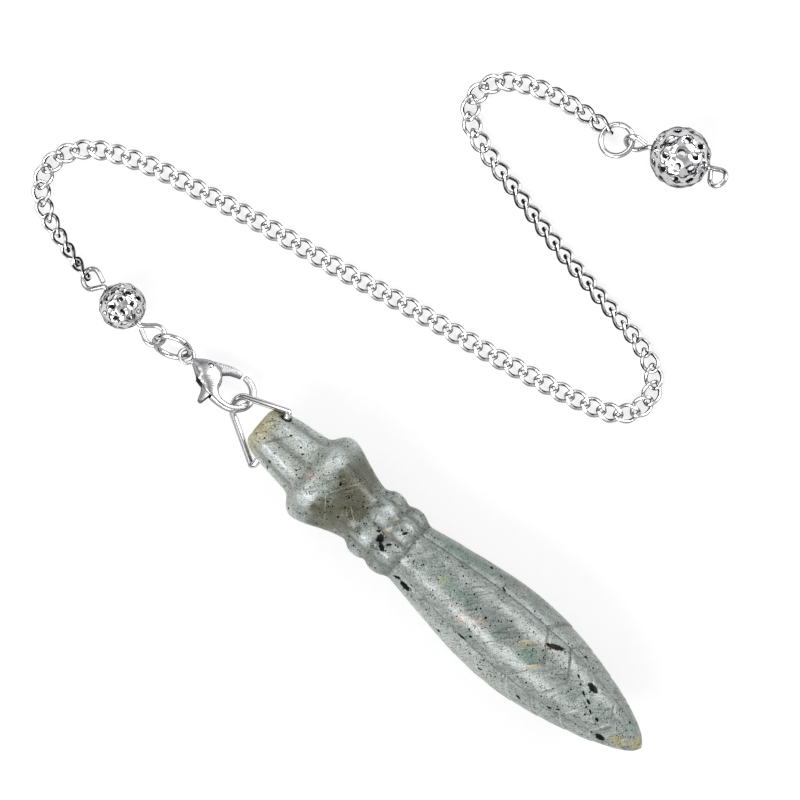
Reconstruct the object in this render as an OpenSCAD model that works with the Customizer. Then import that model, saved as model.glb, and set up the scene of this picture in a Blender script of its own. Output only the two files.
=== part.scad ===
// Pendulum pendant lying on a flat surface at z = 0, seen from above along Z.
// A carved stone drop hangs on a triangle bail. A lobster clasp hooks the bail and joins it,
// through a jump ring and a pierced bead, to a curb chain that ends in a second pierced bead.
// Each piece is placed from the one before it: stone, bail, clasp, ring, bead, chain, ring, bead.

/* [Stone] */
// Length of the stone along its axis
stone_len = 61; // [56:0.5:70]
// Greatest radius of the leaf-shaped lower part
leaf_r = 6.2; // [5.6:0.1:8]
// Greatest radius of the lobed knob
knob_r = 6.1; // [5.5:0.1:7.5]
// Greatest radius of the two beaded rows
row_r = 4.75; // [4.3:0.05:5.5]
// Radius of the waist between knob and rows
waist_r = 3.95; // [3.2:0.05:4.5]
// Radius of the neck beside the drilled hole
neck_r = 3.5; // [3:0.05:4.2]
// How deep the valleys between the six lobes of the upper part are cut
lobe_cut = 0.6; // [0.2:0.05:0.9]
// How deep the valleys between the four panels of the leaf are cut
panel_cut = 0.62; // [0.2:0.02:0.9]
// Depth of the V grooves across the panels
chevron_cut = 0.22; // [0.1:0.02:0.4]
// Length of each V groove's mouth along the stone
chevron_w = 0.6; // [0.3:0.05:0.9]
// Diameter of the drilled hole
drill_d = 1.4; // [1.2:0.05:1.8]
// Distance of the drilled hole from the flat end
drill_station = 2.4; // [2.2:0.1:3.4]
// Turn of the drilled hole about the stone's axis
drill_roll = 24; // [0:1:40]
// Skew of the hand-drilled hole from square
drill_skew = 5; // [0:0.5:8]

/* [Triangle bail] */
// Wire diameter of the bail
bail_wire = 0.86; // [0.7:0.02:1.1]
// Length of the bail's base between its sharp corners
bail_base = 10; // [9.4:0.05:11]
// Height of the bail from its base to its sharp top
bail_height = 8.9; // [8.2:0.1:11]
// Wire bend radius at the two base corners
bail_corner_r = 0.8; // [0.6:0.05:1]
// Wire bend radius at the top
bail_top_r = 1.65; // [1.2:0.05:1.9]
// How far the bail swings down from the stone's axis
bail_drop = 26; // [15:1:32]
// How far the bail has slid along its base, to the lower side
bail_slide = 0.55; // [0:0.05:0.8]

/* [Clasp] */
// Length of the clasp from the eye's centre to the outer edge of the hook
clasp_len = 10.1; // [9.5:0.1:12]
// Half width of the clasp at its widest, from its axis to the back of the hook's tip
clasp_half_w = 3.4; // [3.2:0.05:4]
// Thickness of the clasp's body
clasp_t = 2.4; // [2.1:0.1:3]
// Inner radius of the clasp's eye
eye_r = 0.65; // [0.55:0.05:0.9]
// Thickness of the eye's ring
eye_wire = 0.5; // [0.4:0.05:0.6]
// Thickness of the lever
lever_t = 1; // [0.8:0.05:1.2]
// Radius of the lever's hub
hub_r = 0.9; // [0.75:0.05:1]
// Diameter of the rivet
pin_d = 0.7; // [0.5:0.05:0.8]
// How far the lever opens
lever_swing = 22; // [10:1:24]

/* [Jump rings] */
// Wire diameter of the ring at the clasp
clasp_ring_wire = 0.7; // [0.5:0.05:0.8]
// Outer diameter of the ring at the clasp
clasp_ring_od = 5.2; // [4.8:0.1:6.5]
// Wire diameter of the ring at the end of the chain
end_ring_wire = 0.68; // [0.5:0.02:0.8]
// Outer diameter of the ring at the end of the chain
end_ring_od = 4.65; // [4.3:0.05:6]
// Width of the cut in each jump ring
ring_cut = 0.1; // [0.06:0.02:0.2]

/* [Beads] */
// Diameter of the small pierced bead
small_bead_d = 5.8; // [5.2:0.1:7]
// Diameter of the holes in the small bead's wall
small_hole_d = 0.86; // [0.6:0.02:1]
// Diameter of the large pierced bead
large_bead_d = 7.6; // [7.2:0.1:9]
// Diameter of the holes in the large bead's wall
large_hole_d = 1.14; // [0.8:0.02:1.3]
// Wall of the hollow beads
bead_wall = 0.3; // [0.25:0.05:0.5]
// Wire diameter of the eye wires through the beads
eye_loop_wire = 0.62; // [0.5:0.02:0.7]
// Radius of the small bead's loops, to the middle of the wire
small_loop_r = 1.25; // [1.1:0.05:1.6]
// Radius of the large bead's loops, to the middle of the wire
large_loop_r = 1.1; // [1.05:0.05:1.6]

/* [Chain] */
// Wire diameter of the links
link_wire = 0.46; // [0.42:0.01:0.48]
// Length of a link, to the middle of the wire
link_l = 3; // [2.9:0.02:3.1]
// Width of a link, to the middle of the wire
link_w = 2.02; // [1.96:0.01:2.1]
// Twist of a link's end out of its plane
link_twist = 54; // [50:1:58]
// Distance from one link to the next
link_pitch = 2.15; // [2.05:0.01:2.2]

/* [Hidden] */

// Clearances
run_gap = 0.17;      // between wires that hang in each other
drill_gap = 0.1;     // round a wire in a bead's hole
pin_gap = 0.04;      // round the rivet in the clasp's cheeks
hub_gap = 0.08;      // round the rivet in the lever
slot_gap = 0.12;     // beside the lever in its slot
floor_gap = 0.01;    // under what lies on the surface
seat_gap = 0.55;     // between the hook's inner edge and the bail's top, where they cross

// Moves the whole layout so that the middle of its box is at the origin
layout_shift = [0.04, -0.07];

// Turns a vector as rotate(a) does
function turned(a, v) =
    let (
        x_turned = [v.x, v.y * cos(a.x) - v.z * sin(a.x), v.y * sin(a.x) + v.z * cos(a.x)],
        y_turned = [x_turned.x * cos(a.y) + x_turned.z * sin(a.y), x_turned.y,
            x_turned.z * cos(a.y) - x_turned.x * sin(a.y)]
    )
    [y_turned.x * cos(a.z) - y_turned.y * sin(a.z),
        y_turned.x * sin(a.z) + y_turned.y * cos(a.z), y_turned.z];

// Side faces between rings of points, with a cap on each end, seen from outside
function tube_faces(rings, sides) = concat(
    [[for (i = [0 : sides - 1]) i]],
    [for (r = [0 : rings - 2], i = [0 : sides - 1], half = [0, 1])
        let (a = r * sides + i, b = r * sides + (i + 1) % sides)
        half == 0 ? [a, a + sides, b + sides] : [a, b + sides, b]],
    [[for (i = [sides - 1 : -1 : 0]) (rings - 1) * sides + i]]);

// The same for rings of points that close on themselves
function loop_faces(rings, sides) = [for (k = [0 : rings - 1], m = [0 : sides - 1], half = [0, 1])
    let (
        a = k * sides + m,
        b = k * sides + (m + 1) % sides,
        c = (a + sides) % (rings * sides),
        d = (b + sides) % (rings * sides)
    )
    half == 0 ? [a, d, b] : [a, c, d]];

// A round wire along a path of points. Its section starts with one point along start_up.
function unit(v) = v / norm(v);
module wire(path, d, sides, start_up, closed = false) {
    count = len(path);
    ways = [for (i = [0 : count - 1]) unit(closed
        ? path[(i + 1) % count] - path[(i + count - 1) % count]
        : path[min(i + 1, count - 1)] - path[max(i - 1, 0)])];
    ups = [for (i = 0, up = start_up; i < count;
        up = i + 1 < count ? unit(up - ways[i + 1] * (up * ways[i + 1])) : up, i = i + 1) up];
    points = [for (i = [0 : count - 1], k = [0 : sides - 1]) let (turn = k * 360 / sides)
        path[i] + (cross(ups[i], ways[i]) * cos(turn) + ups[i] * sin(turn)) * d / 2];
    polyhedron(points, closed ? loop_faces(count, sides) : tube_faces(count, sides), convexity = 6);
}

// Stone
// Its outline, from the flat end to the tip. Columns: station as a share of the length,
// radius as a share of the named radius, and which named radius that is.
NECK = 0;
KNOB = 1;
WAIST = 2;
ROW = 3;
LEAF = 4;
named_radii = [neck_r, knob_r, waist_r, row_r, leaf_r];
stone_outline = [
    [0, 0.6, NECK], [0.004, 0.72, NECK], [0.014, 0.84, NECK], [0.028, 0.93, NECK],
    [0.046, 1, NECK], [0.075, 1.08, NECK], [0.102, 1.13, NECK], [0.12, 1.17, NECK],
    [0.132, 0.7, KNOB], [0.14, 0.815, KNOB], [0.148, 0.93, KNOB], [0.158, 0.985, KNOB],
    [0.168, 1, KNOB], [0.18, 0.985, KNOB], [0.197, 0.93, KNOB], [0.212, 0.865, KNOB],
    [0.23, 0.79, KNOB], [0.25, 0.72, KNOB],
    [0.276, 1, WAIST], [0.284, 1.03, WAIST],
    [0.29, 0.925, ROW], [0.298, 0.985, ROW], [0.31, 1, ROW], [0.323, 0.97, ROW],
    [0.334, 0.905, ROW], [0.346, 0.975, ROW], [0.36, 1, ROW], [0.374, 0.97, ROW],
    [0.384, 0.895, ROW],
    [0.394, 0.648, LEAF], [0.425, 0.705, LEAF], [0.457, 0.76, LEAF], [0.489, 0.815, LEAF],
    [0.52, 0.867, LEAF], [0.552, 0.916, LEAF], [0.584, 0.955, LEAF], [0.616, 0.983, LEAF],
    [0.65, 0.999, LEAF], [0.68, 0.998, LEAF], [0.712, 0.983, LEAF], [0.744, 0.947, LEAF],
    [0.776, 0.894, LEAF], [0.808, 0.832, LEAF], [0.834, 0.77, LEAF], [0.861, 0.698, LEAF],
    [0.893, 0.609, LEAF], [0.921, 0.515, LEAF], [0.937, 0.45, LEAF], [0.953, 0.378, LEAF],
    [0.969, 0.3, LEAF], [0.985, 0.2, LEAF], [0.994, 0.115, LEAF], [1, 0.03, LEAF]];
outline_r = [for (row = stone_outline) [row[0] * stone_len, row[1] * named_radii[row[2]]]];
function stone_r(station) = lookup(station, outline_r);

// Where the six lobes end and the four panels begin, as shares of the length
lobes_end = 0.386;
leaf_start = 0.394;
// The leaf's rings of points. Columns: station in the valleys between the panels, and how far
// the middle of a panel runs ahead of that towards the tip, both as shares of the length.
leaf_rings = [
    [0.394, 0], [0.425, 0.003], [0.457, 0.006], [0.489, 0.011], [0.52, 0.017], [0.552, 0.023],
    [0.584, 0.029], [0.616, 0.035], [0.65, 0.039], [0.675, 0.041], [0.72, 0.042], [0.74, 0.043],
    [0.785, 0.04], [0.805, 0.037], [0.85, 0.031], [0.872, 0.026], [0.92, 0.016], [0.942, 0.011],
    [0.963, 0.005], [0.98, 0.002], [0.992, 0.001], [1, 0]];
// The V grooves. Columns: station of the arms' ends, and how far the point runs ahead.
chevrons = [[0.7, 0.041], [0.762, 0.043], [0.829, 0.035], [0.897, 0.021]];

// Every ring of the stone. Columns: valley station, lead of the panel's middle, groove depth.
upper_rings = [for (row = stone_outline) if (row[0] < leaf_start) [row[0] * stone_len, 0, 0]];
panel_rings = [for (row = leaf_rings) [row[0] * stone_len, row[1] * stone_len, 0]];
groove_rings = [for (row = chevrons, side = [-1, 0, 1])
    [row[0] * stone_len + side * chevron_w / 2, row[1] * stone_len, side == 0 ? chevron_cut : 0]];
function between(rows, low, high) = [for (row = rows) if (row[0] >= low && row[0] < high) row];
function merged(rows, extra, low = 0, i = 0) = i == len(extra)
    ? between(rows, low, 2 * stone_len)
    : concat(between(rows, low, extra[i][0]), [extra[i]], merged(rows, extra, extra[i][0], i + 1));
stone_rings = concat(upper_rings, merged(panel_rings, groove_rings));

stone_sides = 48;
stone_step = 360 / stone_sides;
lobe_half = 30;
panel_half = 45;
// Angle from the nearest lobe's crest, and from the nearest panel's middle. 0 is straight up.
function off_lobe(angle) = abs((angle + lobe_half * 4) % (2 * lobe_half) - lobe_half);
function off_panel(angle) = abs((angle + panel_half) % (2 * panel_half) - panel_half);
// Depth of the valleys where the ring stands, shallower where the stone is thin
function valley(station, angle) = station < lobes_end * stone_len
    ? lobe_cut * stone_r(station) / knob_r * pow(off_lobe(angle) / lobe_half, 2.2)
    : station < leaf_start * stone_len ? 0
    : panel_cut * stone_r(station) / leaf_r * pow(off_panel(angle) / panel_half, 2);
function stone_point(ring, angle) =
    let (
        station = ring[0] + ring[1] * (1 - off_panel(angle) / panel_half),
        radius = stone_r(station) - valley(station, angle) - ring[2]
    )
    [station, -radius * sin(angle), radius * cos(angle)];
stone_points = [for (ring = stone_rings, i = [0 : stone_sides - 1])
    stone_point(ring, i * stone_step)];

// The stone lies on two lobes of its knob and on the lowest panel of its leaf
knob_station = 0.168 * stone_len;
leaf_station = 0.662 * stone_len;
knob_rest = -min([for (i = [0 : stone_sides - 1]) stone_point([knob_station, 0, 0], i * stone_step).z]);
leaf_rest = stone_r(leaf_station);
stone_tilt = atan((leaf_rest - knob_rest) / (leaf_station - knob_station));
stone_heading = -40.25;
stone_turn = [0, -stone_tilt, stone_heading];
stone_low = min([for (p = stone_points) turned(stone_turn, p).z]);
stone_spot = [-14.75, -1.6]; // where its drilled end lies, before the shift
stone_at = [stone_spot.x + layout_shift.x, stone_spot.y + layout_shift.y, floor_gap - stone_low];

module stone() {
    color("darkseagreen")
    translate(stone_at) rotate(stone_turn)
    difference() {
        polyhedron(stone_points, tube_faces(len(stone_rings), stone_sides), convexity = 6);
        translate([drill_station, 0, 0]) rotate(drill_turn)
        rotate([90, 0, 0]) cylinder(h = 4 * neck_r, d = drill_d, center = true, $fn = 32);
    }
}

// Triangle bail
// In its own frame the base runs along Y through the origin and the top points along -X.
drill_turn = [drill_roll, 0, drill_skew];
bail_swing = [0, -bail_drop, 0];
top_half_angle = atan(bail_base / 2 / bail_height);
top_reach = bail_height - bail_top_r / sin(top_half_angle) + bail_top_r;
bail_origin = stone_at + turned(stone_turn, [drill_station, 0, 0]);
function bail_world(v) = bail_origin
    + turned(stone_turn, turned(drill_turn, turned(bail_swing, v - [0, bail_slide, 0])));
bail_top_at = bail_world([-top_reach, 0, 0]);

bail_side = 90 - top_half_angle;
corner_y = bail_base / 2 - bail_corner_r / tan(bail_side / 2);
top_x = bail_height - bail_top_r / sin(top_half_angle);
corner_steps = 5;
top_steps = 10;
function corner_arc(s) = [for (k = [0 : corner_steps])
    let (a = 180 + (bail_side - 180) * k / corner_steps)
    [-bail_corner_r * (1 + cos(a)), s * (corner_y + bail_corner_r * sin(a)), 0]];
bail_arc = [for (k = [0 : top_steps]) let (a = bail_side * (1 - 2 * k / top_steps))
    [-top_x - bail_top_r * cos(a), bail_top_r * sin(a), 0]];
second_corner = corner_arc(-1);
bail_path = concat(corner_arc(1), bail_arc, [for (k = [corner_steps : -1 : 0]) second_corner[k]]);

module triangle_bail() {
    color("gainsboro")
    translate(bail_origin) rotate(stone_turn) rotate(drill_turn) rotate(bail_swing)
    translate([0, -bail_slide, 0])
    wire(bail_path, bail_wire, 10, [0, 0, 1], closed = true);
}

// Clasp
// In its own frame the eye is at the origin, the hook lies along X and the gate on the +Y side.
// The body and hook as one tapering bar. Columns: place along the clasp and place across it as
// shares of its length and half width, half width of the bar as a share of the clasp's half
// width, half thickness as a share of the body's.
clasp_sections = [
    [0.089, 0.02, 0.11, 0.2], [0.14, 0.05, 0.19, 0.44], [0.215, 0.07, 0.33, 0.78],
    [0.295, 0.065, 0.45, 0.96], [0.37, -0.005, 0.51, 1], [0.435, -0.15, 0.425, 0.92],
    [0.495, -0.31, 0.305, 0.78], [0.565, -0.42, 0.22, 0.62], [0.65, -0.475, 0.153, 0.5],
    [0.745, -0.455, 0.137, 0.42], [0.83, -0.365, 0.134, 0.41], [0.9, -0.19, 0.133, 0.41],
    [0.946, 0.05, 0.133, 0.41], [0.951, 0.3, 0.133, 0.41], [0.921, 0.55, 0.131, 0.4],
    [0.86, 0.755, 0.126, 0.39], [0.785, 0.865, 0.116, 0.37], [0.725, 0.89, 0.104, 0.35],
    [0.69, 0.885, 0.093, 0.33]];
clasp_sides = 12;
clasp_spine = [for (row = clasp_sections) [row[0] * clasp_len, row[1] * clasp_half_w, 0]];
function spine_way(i) = clasp_spine[min(i + 1, len(clasp_spine) - 1)] - clasp_spine[max(i - 1, 0)];
function rounded(value) = sign(value) * pow(abs(value), 0.8);
clasp_points = [for (i = [0 : len(clasp_sections) - 1], k = [0 : clasp_sides - 1])
    let (
        way = spine_way(i) / norm(spine_way(i)),
        across = [-way.y, way.x, 0],
        turn = k * 360 / clasp_sides
    )
    clasp_spine[i] + across * rounded(cos(turn)) * clasp_sections[i][2] * clasp_half_w
        + [0, 0, rounded(sin(turn)) * clasp_sections[i][3] * clasp_t / 2]];

// The jump ring stands on its edge. It passes through the clasp's eye at one angle and holds the
// small bead's loop at another.
clasp_ring_r = (clasp_ring_od - clasp_ring_wire) / 2;
clasp_ring_turn = [60, 0, -19];
eye_angle = -27;
loop_angle = 155;
// Where the bail's top lies in the clasp's frame: inside the hook, clear of its inner edge
hook_inner = 0.951 * clasp_len - 0.147 * clasp_half_w;
seat = [hook_inner - bail_wire / 2 - seat_gap, 0.05, -0.45];
// The ring at the eye stands on the surface, and the clasp slopes from the bail down to it
eye_height = floor_gap + clasp_ring_wire / 2
    + clasp_ring_r * sin(clasp_ring_turn.x) * (1 + sin(eye_angle));
clasp_slope = asin((bail_top_at.z - eye_height) / seat.x);
clasp_turn = [-25, -clasp_slope, -42];
clasp_at = bail_top_at - turned(clasp_turn, seat);
pivot = [0.312 * clasp_len, 0.22 * clasp_half_w, 0];
// Length of the rivet as a share of the body's thickness
pin_share = 0.88;

// The lever's outline round its pivot, from the gate's root round its end to the thumb tab.
// Columns: along and across, as shares of the clasp's length and half width.
lever_rows = [[-0.02, 0.29], [0.15, 0.58], [0.25, 0.685], [0.335, 0.7], [0.345, 0.56],
    [0.3, 0.5], [0.225, 0.385], [0.155, 0.17], [0.112, -0.12], [0.235, -0.8], [0.225, -1.16],
    [0.205, -1.22], [0.165, -1.19], [0.115, -0.85], [-0.02, -0.26]];
hub_turns = [250, 235, 220, 205, 190, 175, 160, 145, 130, 115];
function around_pivot(rows) = [for (row = rows) [row[0] * clasp_len, row[1] * clasp_half_w]];
// The slot is what the lever passes through as it opens, and this many degrees more at both ends
slot_play = 6;
slot_turns = [for (k = [0 : 5]) slot_play - k / 5 * (lever_swing + 2 * slot_play)];

module clasp_frame() {
    translate(clasp_at) rotate(clasp_turn) children();
}

module lever_outline() {
    polygon(concat(around_pivot(lever_rows), [for (a = hub_turns) hub_r * [cos(a), sin(a)]]));
}

module clasp_body() {
    color("silver")
    clasp_frame() {
        rotate_extrude($fn = 48) translate([eye_r + eye_wire / 2, 0]) circle(d = eye_wire, $fn = 24);
        difference() {
            polyhedron(clasp_points, tube_faces(len(clasp_sections), clasp_sides), convexity = 6);
            translate(pivot) linear_extrude(lever_t + 2 * slot_gap, center = true) {
                circle(r = hub_r + slot_gap, $fn = 48);
                for (turn = slot_turns) rotate(turn) lever_outline();
            }
            translate(pivot) cylinder(h = 2 * clasp_t, d = pin_d + 2 * pin_gap, center = true, $fn = 32);
        }
    }
}

module clasp_lever() {
    color("whitesmoke")
    clasp_frame() translate(pivot)
    linear_extrude(lever_t, center = true)
    difference() {
        lever_outline();
        circle(d = pin_d + 2 * hub_gap, $fn = 32);
    }
}

module clasp_pin() {
    color("lightgray")
    clasp_frame() translate(pivot)
    cylinder(h = pin_share * clasp_t, d = pin_d, center = true, $fn = 32);
}

// A jump ring round the origin with its cut at an angle
module jump_ring(od, d, cut_angle) {
    mean_r = (od - d) / 2;
    slit = ring_cut / mean_r * 180 / PI;
    rotate([0, 0, cut_angle + slit / 2]) rotate_extrude(angle = 360 - slit, $fn = 48)
    translate([mean_r, 0]) circle(d = d, $fn = 24);
}

// Ring at the clasp
clasp_ring_at = clasp_at
    - turned(clasp_ring_turn, clasp_ring_r * [cos(eye_angle), sin(eye_angle), 0]);

module clasp_ring() {
    color("silver")
    translate(clasp_ring_at) rotate(clasp_ring_turn) jump_ring(clasp_ring_od, clasp_ring_wire, 55);
}

// Chain links
// The route's chosen points, from the small bead's loop to the ring at the large bead.
// Columns: x, y, extra height above lying flat, and how far the links are rolled.
chain_route = [
    [-35.9, 16.4, 0.05, -78], [-37.6, 18.8, 0.06, -66], [-39.6, 21.9, 0.07, -46],
    [-41.1, 24.8, 0.07, -27], [-41.5, 27.7, 0.05, -11], [-40.3, 30.3, 0.03, -2],
    [-37.6, 31.8, 0, 0], [-33.8, 31.8, 0, 0], [-27.8, 29.8, 0, 0], [-21.9, 26.8, 0, 0],
    [-14.4, 22.8, 0, 0], [-5, 17.3, 0, 0], [4.2, 12.3, 0, 0], [13.7, 6.8, 0, 0],
    [21.1, 2.8, 0, 0], [26.8, 0.1, 0, 0], [29.7, -0.5, 0, 0], [32.1, 0.3, 0.02, 0],
    [33.5, 2.5, 0.04, 5], [33.4, 5.1, 0.05, 18], [31.4, 8.7, 0.05, 35], [27.2, 13.6, 0.02, 50],
    [21.7, 20.1, 0, 50], [16.6, 26.9, 0, 48], [12.9, 31.9, 0.06, 26], [11, 35.5, 0.05, 8],
    [11.6, 38.6, 0.02, 0],
    [14.7, 40.3, 0, 0], [19.4, 39.4, 0.05, 12], [24.9, 36.4, 0.06, 35], [28, 34.2, 0.05, 50]];
link_a = link_l / 2;
link_b = link_w / 2;
link_rings = 10;
link_sides = 5;
// Middle of a link's wire. Each end is twisted the other way, so links hook through each other.
function link_mid(t) = let (phi = link_twist * cos(t))
    [link_a * cos(t), link_b * sin(t) * cos(phi), link_b * sin(t) * sin(phi)];
link_points = [for (k = [0 : link_rings - 1], m = [0 : link_sides - 1])
    let (
        t = k * 360 / link_rings,
        c = link_mid(t),
        way = unit(link_mid(t + 1) - link_mid(t - 1)),
        out = unit(c - way * (c * way)),
        up = cross(way, out),
        turn = m * 360 / link_sides
    )
    c + (out * cos(turn) + up * sin(turn)) * link_wire / 2];
link_faces = loop_faces(link_rings, link_sides);
// Height of a link's middle when it lies on the surface, rolled by an angle
function lying(roll) = floor_gap - min([for (p = link_points) turned([roll, 0, 0], p).z]);

// Pierced beads and their eye wires
// In its own frame a bead's wire lies along X. Each loop is a teardrop at one end, turned
// sideways, up or down and about its own length.
neck_share = 1.75;
function loop_tip(half, r, side, turn) = [side * half, 0, 0]
    + turned(turn, [side * (neck_share + 1) * r, 0, 0]);
function stem_half(bead_d) = bead_d / 2 + eye_loop_wire / 2;

// One wire bent into a teardrop loop at each end. Each loop ends a little short of its neck.
loop_steps = 12;
neck_cut = 0.3;
loop_open = 0.8;
function teardrop(r) =
    let (
        reach = neck_share * r,
        touch = 180 - acos(r / reach),
        leg = unit([reach + r * cos(touch), r * sin(touch), 0])
    )
    concat([leg * neck_cut],
        [for (k = [0 : loop_steps]) let (a = touch * (1 - 2 * k / loop_steps))
            [reach + r * cos(a), r * sin(a), 0]],
        [[leg.x, -leg.y, 0] * loop_open]);

module eye_wire_piece(bead_d, loop_r, left_turn, right_turn) {
    half = stem_half(bead_d);
    loop = teardrop(loop_r);
    last = len(loop) - 1;
    left = [for (i = [last : -1 : 0])
        [-half, 0, 0] + turned(left_turn, [-loop[i].x, -loop[i].y, 0])];
    right = [for (v = loop) [half, 0, 0] + turned(right_turn, v)];
    wire(concat(left, [[neck_cut - half, 0, 0], [half - neck_cut, 0, 0]], right),
        eye_loop_wire, 8, turned(left_turn, [0, 0, 1]));
}

// A hollow ball with rows of holes on both sides of its seam. Rows lie at these angles from the
// seam, with holes as far apart along a row as the rows are.
hole_rows = [14, 42, 68];
row_step = 28;
module pierced_bead(d, hole_d) {
    inner_r = d / 2 - bead_wall;
    rotate([0, 90, 0])
    difference() {
        sphere(d = d, $fn = 48);
        sphere(r = inner_r, $fn = 48);
        cylinder(h = d + 1, d = eye_loop_wire + 2 * drill_gap, center = true, $fn = 24);
        for (side = [-1, 1], row = hole_rows) {
            count = round(360 * cos(row) / row_step);
            for (k = [0 : count - 1])
                rotate([0, 90 - side * row, (k + side * 0.25) * 360 / count])
                translate([0, 0, inner_r - bead_wall])
                cylinder(h = 3 * bead_wall, d = hole_d, $fn = 16);
        }
    }
}

// The far wire of a loop that hangs in a ring lies this far inside the ring's own wire
function hung(ring_wire) = (ring_wire + eye_loop_wire) / 2 + run_gap;

// Small bead
small_turn = [0, 0, -49];
small_hung_at = clasp_ring_at + turned(clasp_ring_turn,
    (clasp_ring_r - hung(clasp_ring_wire)) * [cos(loop_angle), sin(loop_angle), 0]);
small_half = stem_half(small_bead_d);
small_reach = (neck_share + 1) * small_loop_r;
small_height = small_bead_d / 2 + floor_gap;
// The loops are bent sideways, and up or down to the ring on one side and the chain on the other
small_right_turn = [-15, asin((small_height - small_hung_at.z) / small_reach), 16];
small_left_turn = [10, asin((lying(chain_route[0][3]) - small_height) / small_reach), 22];
small_at = small_hung_at - turned(small_turn, loop_tip(small_half, small_loop_r, 1, small_right_turn));
small_left_tip = small_at + turned(small_turn, loop_tip(small_half, small_loop_r, -1, small_left_turn));

module small_bead() {
    color("silver")
    translate(small_at) rotate(small_turn) rotate([30, 0, 0]) pierced_bead(small_bead_d, small_hole_d);
}

module small_bead_wire() {
    color("gainsboro")
    translate(small_at) rotate(small_turn)
    eye_wire_piece(small_bead_d, small_loop_r, small_left_turn, small_right_turn);
}

// Chain
// The first joint lies where the small bead's loop passes through the first link
route_start = small_left_tip
    + turned(small_turn, turned(small_left_turn, [(eye_loop_wire + run_gap) / 2, 0, 0]));
route_shift = [route_start.x - chain_route[0][0], route_start.y - chain_route[0][1]];
route_knots = [for (i = [0 : len(chain_route) - 1]) let (row = chain_route[i])
    [row[0] + route_shift.x, row[1] + route_shift.y,
        i == 0 ? route_start.z - lying(row[3]) : row[2], row[3]]];
// A smooth curve through the route's points
function curve(a, b, c, d, t) = 0.5 * (2 * b + (c - a) * t + (2 * a - 5 * b + 4 * c - d) * t * t
    + (3 * b - a - 3 * c + d) * t * t * t);
curve_steps = 16;
last_knot = len(route_knots) - 1;
route_curve = concat([for (i = [0 : last_knot - 1], k = [0 : curve_steps - 1])
    curve(route_knots[max(i - 1, 0)], route_knots[i], route_knots[i + 1],
        route_knots[min(i + 2, last_knot)], k / curve_steps)], [route_knots[last_knot]]);
route_fine = [for (v = route_curve) [v[0], v[1], max(v[2], 0) + lying(v[3]), v[3]]];
function place(v) = [v[0], v[1], v[2]];
function lengths(points, i = 0, so_far = 0) = i == len(points) ? []
    : concat([so_far], lengths(points, i + 1, i + 1 < len(points)
        ? so_far + norm(place(points[i + 1]) - place(points[i])) : 0));
route_lengths = lengths(route_fine);
route_total = route_lengths[len(route_fine) - 1];
link_count = ceil(route_total / link_pitch);
link_step = route_total / link_count;
function along_route(column) = [for (i = [0 : len(route_fine) - 1])
    [route_lengths[i], route_fine[i][column]]];
route_x = along_route(0);
route_y = along_route(1);
route_z = along_route(2);
route_roll = along_route(3);
joint_points = [for (i = [0 : link_count]) let (s = i * link_step)
    [lookup(s, route_x), lookup(s, route_y), lookup(s, route_z)]];

module chain() {
    color("silver")
    for (i = [0 : link_count - 1]) {
        from = joint_points[i];
        to = joint_points[i + 1];
        along = to - from;
        translate((from + to) / 2)
        rotate([0, -asin(along.z / norm(along)), atan2(along.y, along.x)])
        rotate([lookup((i + 0.5) * link_step, route_roll), 0, 0])
        polyhedron(link_points, link_faces, convexity = 4);
    }
}

// Ring at the end of the chain
chain_end = joint_points[link_count];
end_ring_r = (end_ring_od - end_ring_wire) / 2;
end_ring_turn = [0, -18, -50];
end_loop_angle = 42;
end_ring_at = chain_end
    + turned(end_ring_turn, [end_ring_r - (end_ring_wire + run_gap) / 2, 0, 0]);

module end_ring() {
    color("silver")
    translate(end_ring_at) rotate(end_ring_turn) jump_ring(end_ring_od, end_ring_wire, 130);
}

// Large bead
large_left_turn = [50, 0, 6];
// The outer loop, the finger hold, is tipped up and swung to one side
large_right_turn = [0, -28, -32];
large_half = stem_half(large_bead_d);
large_reach = large_half + (neck_share + 1) * large_loop_r;
large_hung_at = end_ring_at + turned(end_ring_turn,
    (end_ring_r - hung(end_ring_wire)) * [cos(end_loop_angle), sin(end_loop_angle), 0]);
// The bead lies on the surface, and its wire slopes down to the ring
large_turn = [0, -asin((large_bead_d / 2 + floor_gap - large_hung_at.z) / large_reach), -20];
large_at = large_hung_at - turned(large_turn, loop_tip(large_half, large_loop_r, -1, large_left_turn));

module large_bead() {
    color("silver")
    translate(large_at) rotate(large_turn) rotate([15, 0, 0]) pierced_bead(large_bead_d, large_hole_d);
}

module large_bead_wire() {
    color("gainsboro")
    translate(large_at) rotate(large_turn)
    eye_wire_piece(large_bead_d, large_loop_r, large_left_turn, large_right_turn);
}

stone();
triangle_bail();
clasp_body();
clasp_lever();
clasp_pin();
clasp_ring();
small_bead();
small_bead_wire();
chain();
end_ring();
large_bead();
large_bead_wire();
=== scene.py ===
# %% [markdown]
# # Pendulum pendant
# A labradorite drop is carved with lobes, two beaded rows and a leaf of four panels. It hangs on
# a wire triangle from a lobster clasp, and a curb chain with two pierced beads hangs from that.
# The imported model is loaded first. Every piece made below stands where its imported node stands.

import math

import bmesh
import bpy
import numpy as np
from mathutils import Euler, Matrix, Vector, noise


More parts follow.
